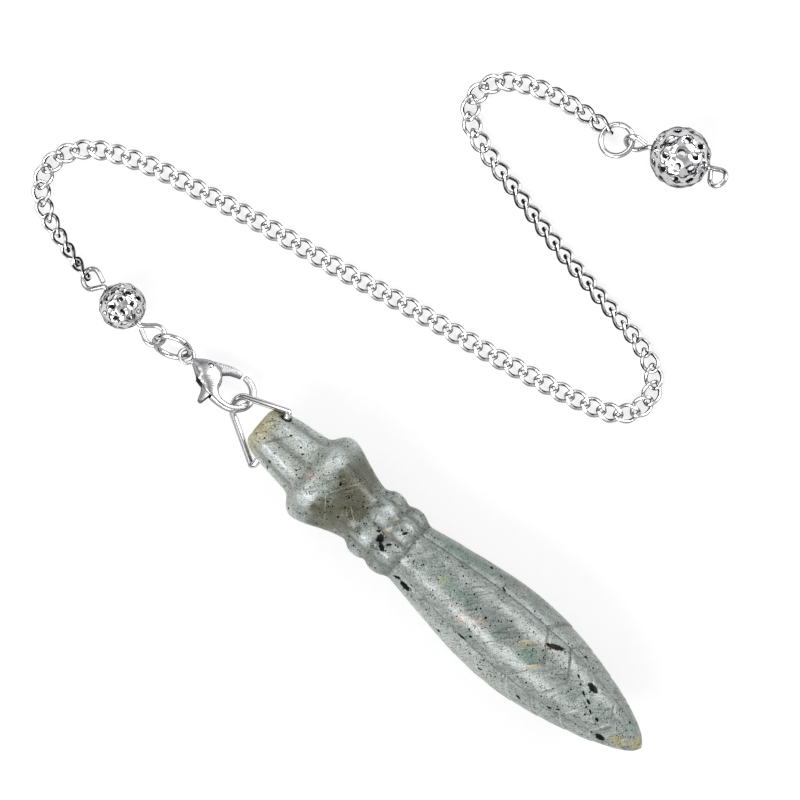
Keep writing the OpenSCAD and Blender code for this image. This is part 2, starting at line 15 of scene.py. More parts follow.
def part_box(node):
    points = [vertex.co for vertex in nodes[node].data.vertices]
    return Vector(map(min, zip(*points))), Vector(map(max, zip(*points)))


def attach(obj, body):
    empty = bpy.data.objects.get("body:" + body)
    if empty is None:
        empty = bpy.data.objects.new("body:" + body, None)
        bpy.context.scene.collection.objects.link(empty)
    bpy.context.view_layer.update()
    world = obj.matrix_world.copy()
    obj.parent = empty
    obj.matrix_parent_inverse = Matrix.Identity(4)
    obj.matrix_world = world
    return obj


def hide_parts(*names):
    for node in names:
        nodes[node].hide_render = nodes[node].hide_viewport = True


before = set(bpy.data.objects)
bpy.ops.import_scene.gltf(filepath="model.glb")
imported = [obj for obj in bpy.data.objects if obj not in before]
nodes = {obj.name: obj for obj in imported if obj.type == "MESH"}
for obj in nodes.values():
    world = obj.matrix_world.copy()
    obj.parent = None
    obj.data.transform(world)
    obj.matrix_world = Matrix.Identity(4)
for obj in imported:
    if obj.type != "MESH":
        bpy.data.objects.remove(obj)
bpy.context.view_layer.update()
MM = 0.001

# %% [markdown]
# ## Camera and floor
# The jewellery lies on a white table and the camera looks straight down, from far off, so that
# nothing is distorted. A long lens about a metre up does the same.

# %% Camera and floor
VIEW_CENTRE = Vector((2.48, 1.27, 2.5)) * MM
VIEW_WIDTH = 97.7 * MM
CAMERA_DISTANCE = 0.95
camera = bpy.data.objects.new("camera", bpy.data.cameras.new("camera"))
camera.data.lens = camera.data.sensor_width * CAMERA_DISTANCE / VIEW_WIDTH
camera.location = VIEW_CENTRE + Vector((0, 0, CAMERA_DISTANCE))
bpy.context.scene.collection.objects.link(camera)
bpy.context.scene.camera = camera
bpy.context.scene.view_settings.view_transform = "Standard"

bpy.ops.mesh.primitive_plane_add(size=6, location=(0, 0, -0.05 * MM))
floor = bpy.context.object
floor.name = "floor"
print("lens, mm:", round(camera.data.lens, 1))

# %% [markdown]
# ## Node helpers
# A finish is a small tree of shader nodes. The first helper adds one node, and sets its inputs or
# joins them to the sockets that feed them. The others make the steps that come back all the time:
# one calculation, a smooth change from one level to another, a field that the mesh carries, and a
# colour laid over another.

# %% Node helpers
def add(tree, kind, values=None, **settings):
    """One node. Values are numbers, colours, or sockets to be linked."""
    made = tree.nodes.new(kind)
    for name, value in settings.items():
        setattr(made, name, value)
    for socket, value in (values or {}).items():
        if isinstance(value, bpy.types.NodeSocket):
            tree.links.new(value, made.inputs[socket])
        else:
            made.inputs[socket].default_value = value
    return made


def linear(red, green, blue):
    """A colour given as display values from 0 to 255, as the linear colour that shaders take."""
    shares = [value / 255 for value in (red, green, blue)]
    return [s / 12.92 if s <= 0.04045 else ((s + 0.055) / 1.055) ** 2.4 for s in shares] + [1]


def maths(tree, operation, first, second):
    """One calculation, in a shader tree or a Geometry Nodes tree."""
    return add(tree, "ShaderNodeMath", {0: first, 1: second}, operation=operation).outputs[0]


def level(tree, value, low, high, start=0.0, end=1.0):
    """Goes smoothly from start to end while the value goes from low to high."""
    return add(tree, "ShaderNodeMapRange", {
        "Value": value, "From Min": low, "From Max": high, "To Min": start, "To Max": end},
        interpolation_type="SMOOTHSTEP").outputs[0]


def field(tree, name):
    """A soft field, kept on the points of the mesh as an attribute of that name."""
    return add(tree, "ShaderNodeAttribute", attribute_name=name).outputs["Fac"]


def blended(tree, share, under, over, mode="MIX"):
    """The share of one colour laid over another. Sockets 6 and 7 of a Mix node are its colours."""
    made = add(tree, "ShaderNodeMix", {"Factor": share}, data_type="RGBA", blend_type=mode)
    for socket, colour in ((6, under), (7, over)):
        if isinstance(colour, bpy.types.NodeSocket):
            tree.links.new(colour, made.inputs[socket])
        else:
            made.inputs[socket].default_value = colour
    return made.outputs[2]


def new_finish(name):
    """An empty material with its tree, its shader and the object's own coordinates."""
    finish = bpy.data.materials.new(name)
    finish.use_nodes = True
    tree = finish.node_tree
    shader = tree.nodes["Principled BSDF"]
    place = tree.nodes.new("ShaderNodeTexCoord").outputs["Object"]
    return finish, tree, shader, place


print("middle grey as shaders take it:", round(linear(128, 128, 128)[0], 3))

# %% [markdown]
# ## Light
# Two soft boxes stand on the two long sides of the stone, and a weak one stands off its end. The
# far box leans more and is turned a little, because the clasp's flat face would mirror it.

# %% Light
STONE_HEADING = -40.25
BOX_DEPTH, BOX_DISTANCE = 0.45, 0.9
# Columns: name, side of the stone, watts, lean from upright, turn about upright, width
SOFT_BOXES = (
    ("soft_box_near", -1, 12.4, 50, 0, 0.85),
    ("soft_box_far", 1, 11, 60, -14, 0.85),
    ("soft_box_end", 1, 2.2, 46, 88, 0.5))
across_stone = Vector((0, 1, 0))
across_stone.rotate(Euler((0, 0, math.radians(STONE_HEADING))))
for name, side, watts, lean, turned_by, width in SOFT_BOXES:
    box = bpy.data.lights.new(name, "AREA")
    box.shape, box.size, box.size_y, box.energy = "RECTANGLE", width, BOX_DEPTH, watts
    lamp = bpy.data.objects.new(name, box)
    slope = math.radians(lean)
    way = across_stone * side * math.sin(slope) + Vector((0, 0, math.cos(slope)))
    way.rotate(Euler((0, 0, math.radians(turned_by))))
    lamp.location = VIEW_CENTRE + way * BOX_DISTANCE
    lamp.rotation_euler = way.to_track_quat("Z", "Y").to_euler()
    bpy.context.scene.collection.objects.link(lamp)

# %% [markdown]
# ## Room and table
# Polished wire only looks like metal when it has something dark to reflect, so the room is dark
# low down, bright above that and grey at the ceiling. The table is white paper. A dark paper that
# glows by itself stays white in the picture and throws little light back into the metal.

# %% Room and table
HORIZON, CEILING, ROOM_STRENGTH = (0.01, 0.01, 0.01, 1), (0.5, 0.5, 0.51, 1), 0.85
# Columns: height from the horizon (0) to overhead (1), brightness
ROOM_TONES = ((0.28, 0.01), (0.35, 0.95), (0.75, 1.0), (0.92, 0.6))
world = bpy.data.worlds.new("studio")
bpy.context.scene.world = world
world.use_nodes = True
room = world.node_tree
room.nodes.clear()
direction = add(room, "ShaderNodeTexCoord").outputs["Generated"]
height = add(room, "ShaderNodeSeparateXYZ", {"Vector": direction}).outputs["Z"]
ramp = add(room, "ShaderNodeValToRGB", {"Fac": height})
tones = ramp.color_ramp.elements
tones[0].position, tones[0].color = 0.0, HORIZON
tones[1].position, tones[1].color = 1.0, CEILING
for position, tone in ROOM_TONES:
    tones.new(position).color = (tone, tone, tone, 1)
sky = add(room, "ShaderNodeBackground", {
    "Color": ramp.outputs["Color"], "Strength": ROOM_STRENGTH})
add(room, "ShaderNodeOutputWorld", {"Surface": sky.outputs[0]})

PAPER_TINT, PAPER_GLOW = (0.15, 0.17), 0.74
paper, tree, shader, place = new_finish("table_paper")
fibre = add(tree, "ShaderNodeTexNoise", {"Vector": place, "Scale": 900, "Detail": 3})
tint = add(tree, "ShaderNodeMapRange", {
    "Value": fibre.outputs["Fac"], "To Min": PAPER_TINT[0], "To Max": PAPER_TINT[1]})
tree.links.new(tint.outputs[0], shader.inputs["Base Color"])
shader.inputs["Roughness"].default_value = 0.9
shader.inputs["Specular IOR Level"].default_value = 0.2
shader.inputs["Emission Color"].default_value = (1, 1, 1, 1)
shader.inputs["Emission Strength"].default_value = PAPER_GLOW
floor.data.materials.append(paper)
print("room tones:", len(tones))

# %% [markdown]
# ## Handing over a piece
# A finished piece is a plain mesh with its place in its points. Modifiers are only a recipe, so
# their result is taken as a mesh. It is then given the imported node that it stands for and the
# body that it moves with.

# %% Handing over a piece
def placed(turn, at):
    """From a piece's own frame in millimetres to its place in metres. Turn is in degrees."""
    angles = Euler([math.radians(a) for a in turn])
    return Matrix.Translation(Vector(at) * MM) @ angles.to_matrix().to_4x4() @ Matrix.Scale(MM, 4)


def new_object(name, mesh):
    """An object at the origin that shows the mesh."""
    made = bpy.data.objects.new(name, mesh)
    bpy.context.scene.collection.objects.link(made)
    return made


def real_mesh(source):
    """What the modifiers make of an object, as a plain mesh."""
    bpy.context.view_layer.update()
    view = source.evaluated_get(bpy.context.evaluated_depsgraph_get())
    return bpy.data.meshes.new_from_object(view)


def carve(target, tool, operation="DIFFERENCE"):
    """A Boolean modifier. The exact solver keeps thin walls and touching faces clean."""
    cut = target.modifiers.new(tool.name, "BOOLEAN")
    cut.object, cut.operation, cut.solver = tool, operation, "EXACT"


def hand_over(source, name, body="pendulum", crease=40):
    """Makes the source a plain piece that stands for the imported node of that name."""
    mesh = real_mesh(source)
    bpy.data.objects.remove(source)
    mesh.shade_smooth()
    mesh.set_sharp_from_angle(angle=math.radians(crease))
    piece = new_object(name + "_look", mesh)
    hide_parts(name)
    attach(piece, body)
    low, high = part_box(name)
    points = np.array([v.co for v in mesh.vertices])
    over = max((np.array(low) - points.min(0)).max(), (points.max(0) - np.array(high)).max())
    print(name, "faces", len(mesh.polygons), "beyond its packed box, mm:", round(over / MM, 3))


# %% [markdown]
# ## Finishes of the metal
# All wire is plated and polished, the clasp is a cast piece with a softer gloss, the beads are
# pressed from thin plated sheet. One recipe with its own tone, gloss, grain and relief serves
# them. Worn places are a little duller, and a fine noise makes the scratches. The bail and the
# chain catch more light than the rings do, so their tones are lighter, as painted light; the
# clasp's lever and the inside of a bead catch less, so theirs are darker, as painted shade.

# %% Finishes of the metal
EDGE_TINT = (0.12, 0.12, 0.13, 1)


def metal(name, colour, gloss, grain, relief):
    """Gloss is the least and most roughness, grain the size of the scratches in mm."""
    finish, tree, shader, place = new_finish(name)
    spot = add(tree, "ShaderNodeMapping", {
        "Vector": place, "Scale": [1 / MM] * 3}).outputs["Vector"]
    wear = add(tree, "ShaderNodeTexNoise", {"Vector": spot, "Scale": 0.6, "Detail": 4})
    fine = add(tree, "ShaderNodeTexNoise", {"Vector": spot, "Scale": 1 / grain, "Detail": 3})
    rough = add(tree, "ShaderNodeMapRange", {
        "Value": wear.outputs["Fac"], "From Min": 0.35, "From Max": 0.68,
        "To Min": gloss[0], "To Max": gloss[1]})
    shade = add(tree, "ShaderNodeMapRange", {
        "Value": fine.outputs["Fac"], "From Min": 0.3, "From Max": 0.7,
        "To Min": 0.93, "To Max": 1.0})
    tone = blended(tree, 1.0, colour + [1], shade.outputs[0], "MULTIPLY")
    bump = add(tree, "ShaderNodeBump", {
        "Height": fine.outputs["Fac"], "Strength": relief, "Distance": 0.02 * MM})
    tree.links.new(tone, shader.inputs["Base Color"])
    tree.links.new(rough.outputs[0], shader.inputs["Roughness"])
    tree.links.new(bump.outputs[0], shader.inputs["Normal"])
    shader.inputs["Metallic"].default_value = 1
    shader.inputs["Specular Tint"].default_value = EDGE_TINT
    return finish


wire_finish = metal("polished_wire", [0.53, 0.53, 0.545], (0.05, 0.12), 0.09, 0.35)
# The bail's lighter tone than the rings' is painted light
bail_finish = metal("bail_wire", [0.74, 0.74, 0.75], (0.05, 0.12), 0.09, 0.35)
cast_finish = metal("clasp_casting", [0.47, 0.47, 0.48], (0.2, 0.34), 0.07, 0.7)
# The lever's darker tone is painted shade
lever_finish = metal("lever_casting", [0.24, 0.24, 0.245], (0.3, 0.46), 0.16, 1.0)
bead_finish = metal("bead_plate", [0.68, 0.68, 0.69], (0.06, 0.14), 0.2, 0.8)
# The inside's near-black tone is painted shade
inside_shade_finish = metal("bead_inside_shade", [0.05, 0.05, 0.05], (0.4, 0.6), 0.2, 0.6)
# The chain's lighter tone is painted light
chain_finish = metal("chain_plate", [0.87, 0.87, 0.88], (0.06, 0.14), 0.12, 0.4)
print("finishes so far:", len(bpy.data.materials))

# %% [markdown]
# ## Stone: outline
# The stone was ground on a wheel from one rod. Its outline is a list of stations along the axis
# with the radius at each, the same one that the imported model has. It is walked in equal small
# steps and then smoothed a little, as polishing does, so that no ring looks turned on a lathe.

# %% Stone: outline
STONE_LENGTH = 61
NECK, KNOB, WAIST, ROW, LEAF = 3.5, 6.1, 3.95, 4.75, 6.2
OUTLINE = [(0, 0, NECK)] + [(s, r, NECK) for s, r in (
    (0, 0.6), (0.004, 0.72), (0.014, 0.84), (0.028, 0.93), (0.046, 1), (0.075, 1.08),
    (0.102, 1.13), (0.12, 1.17))] + [(s, r, KNOB) for s, r in (
    (0.132, 0.7), (0.14, 0.815), (0.148, 0.93), (0.158, 0.985), (0.168, 1), (0.18, 0.985),
    (0.197, 0.93), (0.212, 0.865), (0.23, 0.79), (0.25, 0.72))] + [
    (0.276, 1, WAIST), (0.284, 1.03, WAIST)] + [(s, r, ROW) for s, r in (
    (0.29, 0.925), (0.298, 0.985), (0.31, 1), (0.323, 0.97), (0.334, 0.885), (0.346, 0.975),
    (0.36, 1), (0.374, 0.97), (0.384, 0.895))] + [(s, r, LEAF) for s, r in (
    (0.394, 0.648), (0.425, 0.705), (0.457, 0.76), (0.489, 0.815), (0.52, 0.867), (0.552, 0.916),
    (0.584, 0.955), (0.616, 0.983), (0.65, 0.999), (0.68, 0.998), (0.712, 0.983), (0.744, 0.947),
    (0.776, 0.894), (0.808, 0.832), (0.834, 0.77), (0.861, 0.698), (0.893, 0.609), (0.921, 0.515),
    (0.937, 0.45), (0.953, 0.378), (0.969, 0.3), (0.985, 0.2), (0.994, 0.115), (1, 0))]
outline = np.array([(s * STONE_LENGTH, r * named) for s, r, named in OUTLINE])


def walked(points, step):
    """The points of a polyline in equal steps."""
    far = np.concatenate([[0], np.cumsum(np.linalg.norm(np.diff(points, axis=0), axis=1))])
    at = np.linspace(0, far[-1], int(round(far[-1] / step)) + 1)
    return np.stack([np.interp(at, far, column) for column in points.T], axis=1)


def softened(values, width):
    """Values smoothed over a number of steps, with the two ends held."""
    reach = np.arange(-3 * width, 3 * width + 1)
    weights = np.exp(-0.5 * (reach / width) ** 2)
    padded = np.pad(values, 3 * width, mode="reflect", reflect_type="odd")
    return np.convolve(padded, weights / weights.sum(), mode="valid")


STONE_STEP, POLISH = 0.15, 2
profile = walked(outline, STONE_STEP)
stations = softened(profile[:, 0], POLISH)
radii = np.maximum(softened(profile[:, 1], POLISH), 0)
print("stone outline:", len(stations), "rings")

# %% [markdown]
# ## Stone: carving
# Six lobes run along the neck, knob and rows. Below them the leaf has four panels, and V grooves
# cross each panel like the veins of a leaf. The rings of the mesh are bent along those veins, so
# the grooves stay crisp. A groove leaves a small step behind it, as scales do.

# %% Stone: carving
AROUND = 216
LOBES_END, LEAF_START = 0.386 * STONE_LENGTH, 0.394 * STONE_LENGTH
LOBE_CUT, PANEL_CUT, PANEL_FADE, FADE_LENGTH = 0.78, 0.62, 0.45, 6
# How far a ring's points lie ahead of its station on a panel's ridge, as shares of the length
VEIN_LEAD = np.array([
    (0.394, 0), (0.425, 0.003), (0.457, 0.006), (0.489, 0.011), (0.52, 0.017), (0.552, 0.023),
    (0.584, 0.029), (0.616, 0.035), (0.65, 0.039), (0.675, 0.041), (0.72, 0.042), (0.74, 0.043),
    (0.785, 0.04), (0.805, 0.037), (0.85, 0.031), (0.872, 0.026), (0.92, 0.016), (0.942, 0.011),
    (0.963, 0.005), (0.98, 0.002), (0.992, 0.001), (1, 0)]) * STONE_LENGTH
VEINS = np.array([0.7, 0.762, 0.829, 0.897]) * STONE_LENGTH
VEIN_WIDTH, VEIN_DEPTH, VEIN_STEP, STEP_LENGTH, LEAST_THIN = 0.42, 0.17, 0.1, 1.6, 0.6
# Station in mm, and how deep the valleys between the lobes are there
LOBE_SHARE = np.array([(0, 1), (11.3, 1), (12.8, 0.45), (16.8, 0.5), (18, 1.45), (24, 1.45)])

angle = np.linspace(0, 360, AROUND, endpoint=False)
off_lobe = np.abs((angle + 120) % 60 - 30) / 30
off_panel = np.abs((angle + 45) % 90 - 45) / 45
lead = np.interp(stations, VEIN_LEAD[:, 0], VEIN_LEAD[:, 1], left=0, right=0)
along = stations[:, None] + lead[:, None] * (1 - off_panel)[None, :]
on_leaf = (stations > LEAF_START)[:, None]
tail = stations > 0.2 * STONE_LENGTH
radius = np.where(on_leaf, np.interp(along, stations[tail], radii[tail]), radii[:, None])
dip = (0.5 - 0.5 * np.cos(math.pi * off_lobe)) ** 1.25
lobes = LOBE_CUT * np.interp(stations, *LOBE_SHARE.T)[:, None] * radius / KNOB * dip[None, :]
fade = np.clip((along - VEINS[0]) / FADE_LENGTH, 0, 1) * PANEL_FADE
panels = PANEL_CUT * (1 - fade) * radius / LEAF * off_panel[None, :] ** 2
edge = np.clip((stations - LOBES_END) / (LEAF_START - LOBES_END), 0, 1)[:, None]
radius = radius - (1 - edge) * lobes - edge * panels
for vein in VEINS:
    beyond = stations - vein
    groove = np.clip(1 - np.abs(beyond) / (VEIN_WIDTH / 2), 0, 1) * VEIN_DEPTH
    step = np.where(beyond > 0, np.exp(-beyond / STEP_LENGTH), 0) * VEIN_STEP
    thin = np.interp(vein, stations[tail], radii[tail]) / LEAF
    radius = radius - ((groove + step) * max(thin, LEAST_THIN))[:, None]
turn = np.radians(angle)[None, :]
stone_points = np.stack([along, -radius * np.sin(turn), radius * np.cos(turn)], axis=2)
print("leaf's widest, mm:", round(float(2 * radius[stations > LEAF_START].max()), 2))

# %% [markdown]
# ## Stone: where painted shade and painted highlight lie
# Painted highlight lightens the lobes' crests, and painted shade darkens the valleys and
# crevices. These shares follow the carving, so they are worked out on the same rings and kept
# for the finish.

# %% Stone: where painted shade and painted highlight lie
# Station in mm, and how strongly a painted highlight lightens a lobe's crest there
CREST_HIGHLIGHT_SHARE = np.array([
    (0, 0), (1.3, 0.1), (2.6, 0.8), (6, 1), (7.6, 0), (8.8, 0), (9.6, 1.4), (10.7, 1.4), (11.5, 0),
    (17.8, 0), (18.6, 1), (19.2, 1), (20.1, 0), (20.9, 0), (21.7, 0.35), (22.3, 0.35), (23.2, 0)])
# Station in mm, and how strongly painted shade darkens the valleys between the lobes there
VALLEY_SHADE_SHARE = np.array([(0, 1.1), (7, 1.1), (9, 0.5), (12, 0.5), (17, 0.8), (24, 0.8)])
# Columns: station of a waist between two rows, half width, strength of its painted shade
CREVICE_SHADES = ((8.0, 0.8, 0.45), (17.3, 0.6, 0.5), (20.4, 0.35, 1), (23.6, 0.4, 0.9))


def line_field(veins):
    """Where the given veins run, on every ring."""
    near = sum(np.clip(1 - np.abs(stations - vein) / VEIN_WIDTH, 0, 1) for vein in veins)
    return np.repeat(near[:, None], AROUND, axis=1)


crest = np.interp(stations, *CREST_HIGHLIGHT_SHARE.T)[:, None] * np.clip(1.1 - off_lobe * 1.5, 0, 1)[None, :]
valley = np.interp(stations, *VALLEY_SHADE_SHARE.T)[:, None] * off_lobe[None, :] ** 2.5
crevice = sum(much * np.exp(-0.5 * ((stations - at) / wide) ** 2) for at, wide, much in CREVICE_SHADES)
CARVED_FIELDS = {
    "first_vein": line_field(VEINS[:1]),
    "other_veins": line_field(VEINS[1:]),
    # Painted shade along the valleys between the leaf's panels
    "valley": edge * (1 - fade) * np.clip(off_panel[None, :] * 12 - 11, 0, 1),
    "crest": (1 - edge) * crest,
    "crevice": np.maximum((1 - edge) * valley, crevice[:, None])}
print("fields of the carving:", ", ".join(CARVED_FIELDS))

# %% [markdown]
# ## Stone: skin
# The rings are joined to a skin, with a point at each end. Hand work shows as a faint waviness, so
# every point is moved in or out by two noises, a slow one and a fine one.

# %% Stone: skin
STONE_PLACE = placed((0, -0.808608, -40.25), (-14.71, -1.67, 5.64256))


def skin(name, rings, tips=None, closed=False):
    """A mesh over rings of points. Tips are single points that close the two ends."""
    count, around = rings.shape[:2]
    points = rings.reshape(-1, 3)
    spans = count if closed else count - 1
    row, column = np.meshgrid(np.arange(spans), np.arange(around), indexing="ij")
    a = row * around + column
    b = row * around + (column + 1) % around
    c = (row + 1) % count * around + (column + 1) % around
    d = (row + 1) % count * around + column
    faces = np.stack([a, b, c, d], axis=2).reshape(-1, 4).tolist()
    if tips is not None:
        first, last = len(points), len(points) + 1
        points = np.concatenate([points, np.array(tips)])
        end = (count - 1) * around
        faces += [(first, (k + 1) % around, k) for k in range(around)]
        faces += [(last, end + k, end + (k + 1) % around) for k in range(around)]
    mesh = bpy.data.meshes.new(name)
    mesh.from_pydata(points.tolist(), [], faces)
    shape = bmesh.new()
    shape.from_mesh(mesh)
    bmesh.ops.recalc_face_normals(shape, faces=shape.faces)
    shape.to_mesh(mesh)
    shape.free()
    return mesh


# Hand work in mm: slow waves, fine waves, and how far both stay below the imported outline
SLOW_WAVE, FINE_WAVE, WAVE_SINK = 0.05, 0.018, 0.03
waved = stone_points[1:-1].copy()
for point in waved.reshape(-1, 3):
    spot = Vector(point)
    wave = noise.noise(spot * 0.45) * SLOW_WAVE + noise.noise(spot * 1.7) * FINE_WAVE
    out = np.array([0, point[1], point[2]])
    point += out / max(np.linalg.norm(out), 1e-6) * (wave - WAVE_SINK)
stone_mesh = skin("stone", waved, tips=[(stations[0], 0, 0), (stations[-1], 0, 0)])
stone_mesh.transform(STONE_PLACE)
stone = new_object("stone_blank", stone_mesh)
print("stone's points:", len(stone_mesh.vertices))

# %% [markdown]
# ## Stone: drilled hole
# The hole for the bail goes through the neck, a little askew. A cylinder is the drill. It stays in
# the scene until the stone is handed over, because the Boolean looks at it as long as it is live.

# %% Stone: drilled hole
DRILL_STATION, DRILL_R, DRILL_TURN = 2.4, 0.7, (24, 0, 5)
drill_mesh = bpy.data.meshes.new("drill")
shape = bmesh.new()
bmesh.ops.create_cone(
    shape, cap_ends=True, segments=48, radius1=DRILL_R, radius2=DRILL_R, depth=4 * NECK)
shape.to_mesh(drill_mesh)
shape.free()
drill_mesh.transform(Matrix.Rotation(math.radians(90), 4, "X"))
drill_turn = Euler([math.radians(a) for a in DRILL_TURN]).to_matrix().to_4x4()
drill_place = STONE_PLACE @ Matrix.Translation((DRILL_STATION, 0, 0)) @ drill_turn
drill_mesh.transform(drill_place)
drill = new_object("drill", drill_mesh)
carve(stone, drill)
print("drill's width, mm:", 2 * DRILL_R)

# %% [markdown]
# ## Stone: soft fields on the mesh
# Labradorite is a cloudy grey-green stone. It has darker olive zones, black grains and needles,
# and thin layers inside that flash green, gold and pink. The zones are soft fields kept on the
# mesh as attributes, which noise then breaks up, so their edges look grown and not drawn. They are
# measured in the stone's own frame in mm: x runs along it and y across.

# %% Stone: soft fields on the mesh
def spots(points, rows):
    """The greatest of several soft ovals at each point. Rows: station, across, half length,
    half width, turn in degrees."""
    field = np.zeros(len(points))
    for station, across, long, wide, turned in rows:
        c, s = math.cos(math.radians(turned)), math.sin(math.radians(turned))
        x, y = points[:, 0] - station, points[:, 1] - across
        far = np.sqrt(((x * c + y * s) / long) ** 2 + ((y * c - x * s) / wide) ** 2)
        field = np.maximum(field, np.clip(1.5 - far * 0.5, 0, 1.5))
    return field / 1.5


FIELDS = {
    "olive": [(14.3, 1.1, 1.7, 3.3, 15), (13.2, 2.4, 1.3, 1.6, 0), (13.8, 3.6, 1.2, 1.0, 0),
              (13.3, -3.2, 1.4, 1.3, 0), (15.7, -0.6, 1.1, 1.0, 0)],
    "brown": [(15.6, -0.6, 0.5, 0.6, 0), (11.9, -3.5, 0.7, 0.4, 0), (13.2, 1.9, 0.9, 1.3, 0)],
    # A painted highlight on the knob's lower lobe; painted light on the leaf's lower side
    "pale": [(5, 0, 4.4, 6, 0), (33, -5.2, 9, 0.8, 0), (9.9, -2.7, 1.5, 1.1, 0)],
    "grey": [(31, 5.0, 12, 1.0, 4), (20.4, 0.6, 1.6, 1.6, 0), (38, 0.3, 7, 0.9, 0)],
    "rust": [(-0.2, 0, 1.5, 4.4, 0), (29.4, 0.1, 0.5, 0.4, 20),
             (58.2, -1.1, 0.8, 0.5, 20), (60.4, 0.1, 0.7, 0.8, 0)],
    "black": [(45.0, 2.7, 0.85, 0.26, 24), (44.2, 2.35, 0.3, 0.15, 0), (51.6, 1.8, 0.62, 0.3, -12),
              (52.1, 1.7, 0.3, 0.2, 0), (56.2, -2.2, 0.5, 0.26, 5), (35.7, 4.0, 0.3, 0.1, -20),
              (20.3, -1.0, 0.36, 0.42, 30), (21.1, -1.7, 0.45, 0.25, -30),
              (21.6, -0.9, 0.3, 0.14, 50), (22.2, 1.4, 0.34, 0.12, 60),
              (19.6, -0.4, 0.26, 0.12, 40), (24.9, -3.3, 0.4, 0.12, 15),
              (26.3, -3.5, 0.65, 0.22, -5), (35.5, -3.7, 0.5, 0.1, 3), (36.3, -3.0, 0.16, 0.12, 0),
              (32.9, 5.0, 0.18, 0.12, 0), (4.0, -2.6, 0.16, 0.16, 0), (12.4, 0.9, 0.14, 0.2, 0),
              (49.4, 1.8, 0.22, 0.12, -30), (50.2, 1.2, 0.14, 0.12, 0),
              (51.2, 0.6, 0.3, 0.1, -35), (52.3, 0.2, 0.3, 0.13, -20),
              (53.3, -0.6, 0.28, 0.1, -30), (54.5, -0.8, 0.2, 0.16, 0),
              (49.2, -3.4, 0.2, 0.1, 30), (50.1, -2.9, 0.24, 0.09, 30), (45.5, -4.9, 0.3, 0.09, 0),
              (39.7, -5.3, 0.3, 0.07, 10), (32.9, -5.0, 0.3, 0.07, 0), (48.6, 4.1, 0.16, 0.1, 0)],
    "teal": [(58.4, 1.2, 0.5, 0.4, 30), (32.2, 0.1, 1.8, 0.6, 10), (43.2, -0.2, 1.2, 1.1, 50),
             (29.6, 0.2, 0.8, 0.6, 0), (38.4, -0.9, 0.8, 0.5, 40), (30, 3.9, 4, 0.5, 6)],
    "gold": [(41.8, 0.8, 1.1, 0.28, 50), (42.5, 0.5, 1.2, 0.14, 50), (44.2, -1.0, 0.95, 0.3, 48),
             (20.2, 0.2, 0.26, 0.26, 0), (20.0, 1.9, 0.22, 0.36, 0)],
    "pink": [(35.6, -1.2, 0.8, 0.4, 48), (36.3, -0.8, 0.5, 0.2, 48), (9.0, -0.7, 0.7, 0.5, 0),
             (34, -2.1, 0.8, 0.5, 45), (44.6, 2.3, 0.9, 0.5, 10)],
}
stone_frame = STONE_PLACE.inverted()
local = np.array([stone_frame @ v.co for v in stone.data.vertices])
point_fields = {name: spots(local, rows) for name, rows in FIELDS.items()}
for name, grid in CARVED_FIELDS.items():
    point_fields[name] = np.append(grid[1:-1].ravel(), (0, 0))
for name, values in point_fields.items():
    stored = stone.data.attributes.new(name, "FLOAT", "POINT")
    stored.data.foreach_set("value", values.astype(np.float32))
print("stone fields:", ", ".join(stone.data.attributes.keys()))

# %% [markdown]
# ## Stone: needles
# Fine straight needles cross the stone, some dark and some pale. Noise can't make a straight line
# with two ends, so each needle is measured, and a node group says how near a point is to it.

# %% Stone: needles
# Rows: one end, the other end, half width
NEEDLES = {
    "dark": [((30.9, -1.9), (34.1, 2.4), 0.09), ((32.3, -0.9), (35.7, 4.0), 0.08),
             ((37.4, -3.2), (40.6, 0.6), 0.06), ((39.6, -1.8), (42.4, 1.4), 0.05),
             ((31.9, 0.9), (34.0, 3.1), 0.05), ((43.9, 3.6), (44.6, 1.9), 0.07),
             ((41.6, 0.1), (42.7, 1.5), 0.05), ((40.9, 0.3), (41.9, 1.4), 0.05),
             ((28.6, 1.9), (29.5, 2.9), 0.06), ((53.9, -0.9), (55.8, -1.5), 0.07)],
    "pale": [((14.3, 2.9), (11.9, -0.9), 0.1), ((14.8, 2.6), (12.3, -1.2), 0.07),
             ((11.8, -1.2), (13.6, -3.6), 0.09), ((15.1, -0.4), (18.1, -2.6), 0.09),
             ((14.9, -1.0), (16.8, -2.9), 0.06), ((12.4, 1.7), (12.1, 1.2), 0.1)],
}


def needle_group():
    """How close a point is to a straight needle: 1 on it and 0 beside it."""
    group = bpy.data.node_groups.new("needle", "ShaderNodeTree")
    for name in ("Place", "From", "Along"):
        group.interface.new_socket(name, in_out="INPUT", socket_type="NodeSocketVector")
    group.interface.new_socket("Width", in_out="INPUT", socket_type="NodeSocketFloat")
    group.interface.new_socket("Mask", in_out="OUTPUT", socket_type="NodeSocketFloat")
    given = group.nodes.new("NodeGroupInput").outputs
    off = add(group, "ShaderNodeVectorMath", {0: given["Place"], 1: given["From"]},
              operation="SUBTRACT").outputs["Vector"]
    reach = add(group, "ShaderNodeVectorMath", {0: off, 1: given["Along"]},
                operation="DOT_PRODUCT").outputs["Value"]
    whole = add(group, "ShaderNodeVectorMath", {0: given["Along"], 1: given["Along"]},
                operation="DOT_PRODUCT").outputs["Value"]
    share = add(group, "ShaderNodeMath", {0: reach, 1: whole}, operation="DIVIDE",
                use_clamp=True).outputs[0]
    nearest = add(group, "ShaderNodeVectorMath", {0: given["Along"], "Scale": share},
                  operation="SCALE").outputs["Vector"]
    far = add(group, "ShaderNodeVectorMath", {0: off, 1: nearest},
              operation="DISTANCE").outputs["Value"]
    mask = add(group, "ShaderNodeMapRange", {
        "Value": far, "From Min": 0.0, "From Max": given["Width"], "To Min": 1.0, "To Max": 0.0},
        interpolation_type="SMOOTHSTEP")
    add(group, "NodeGroupOutput", {"Mask": mask.outputs[0]})
    return group


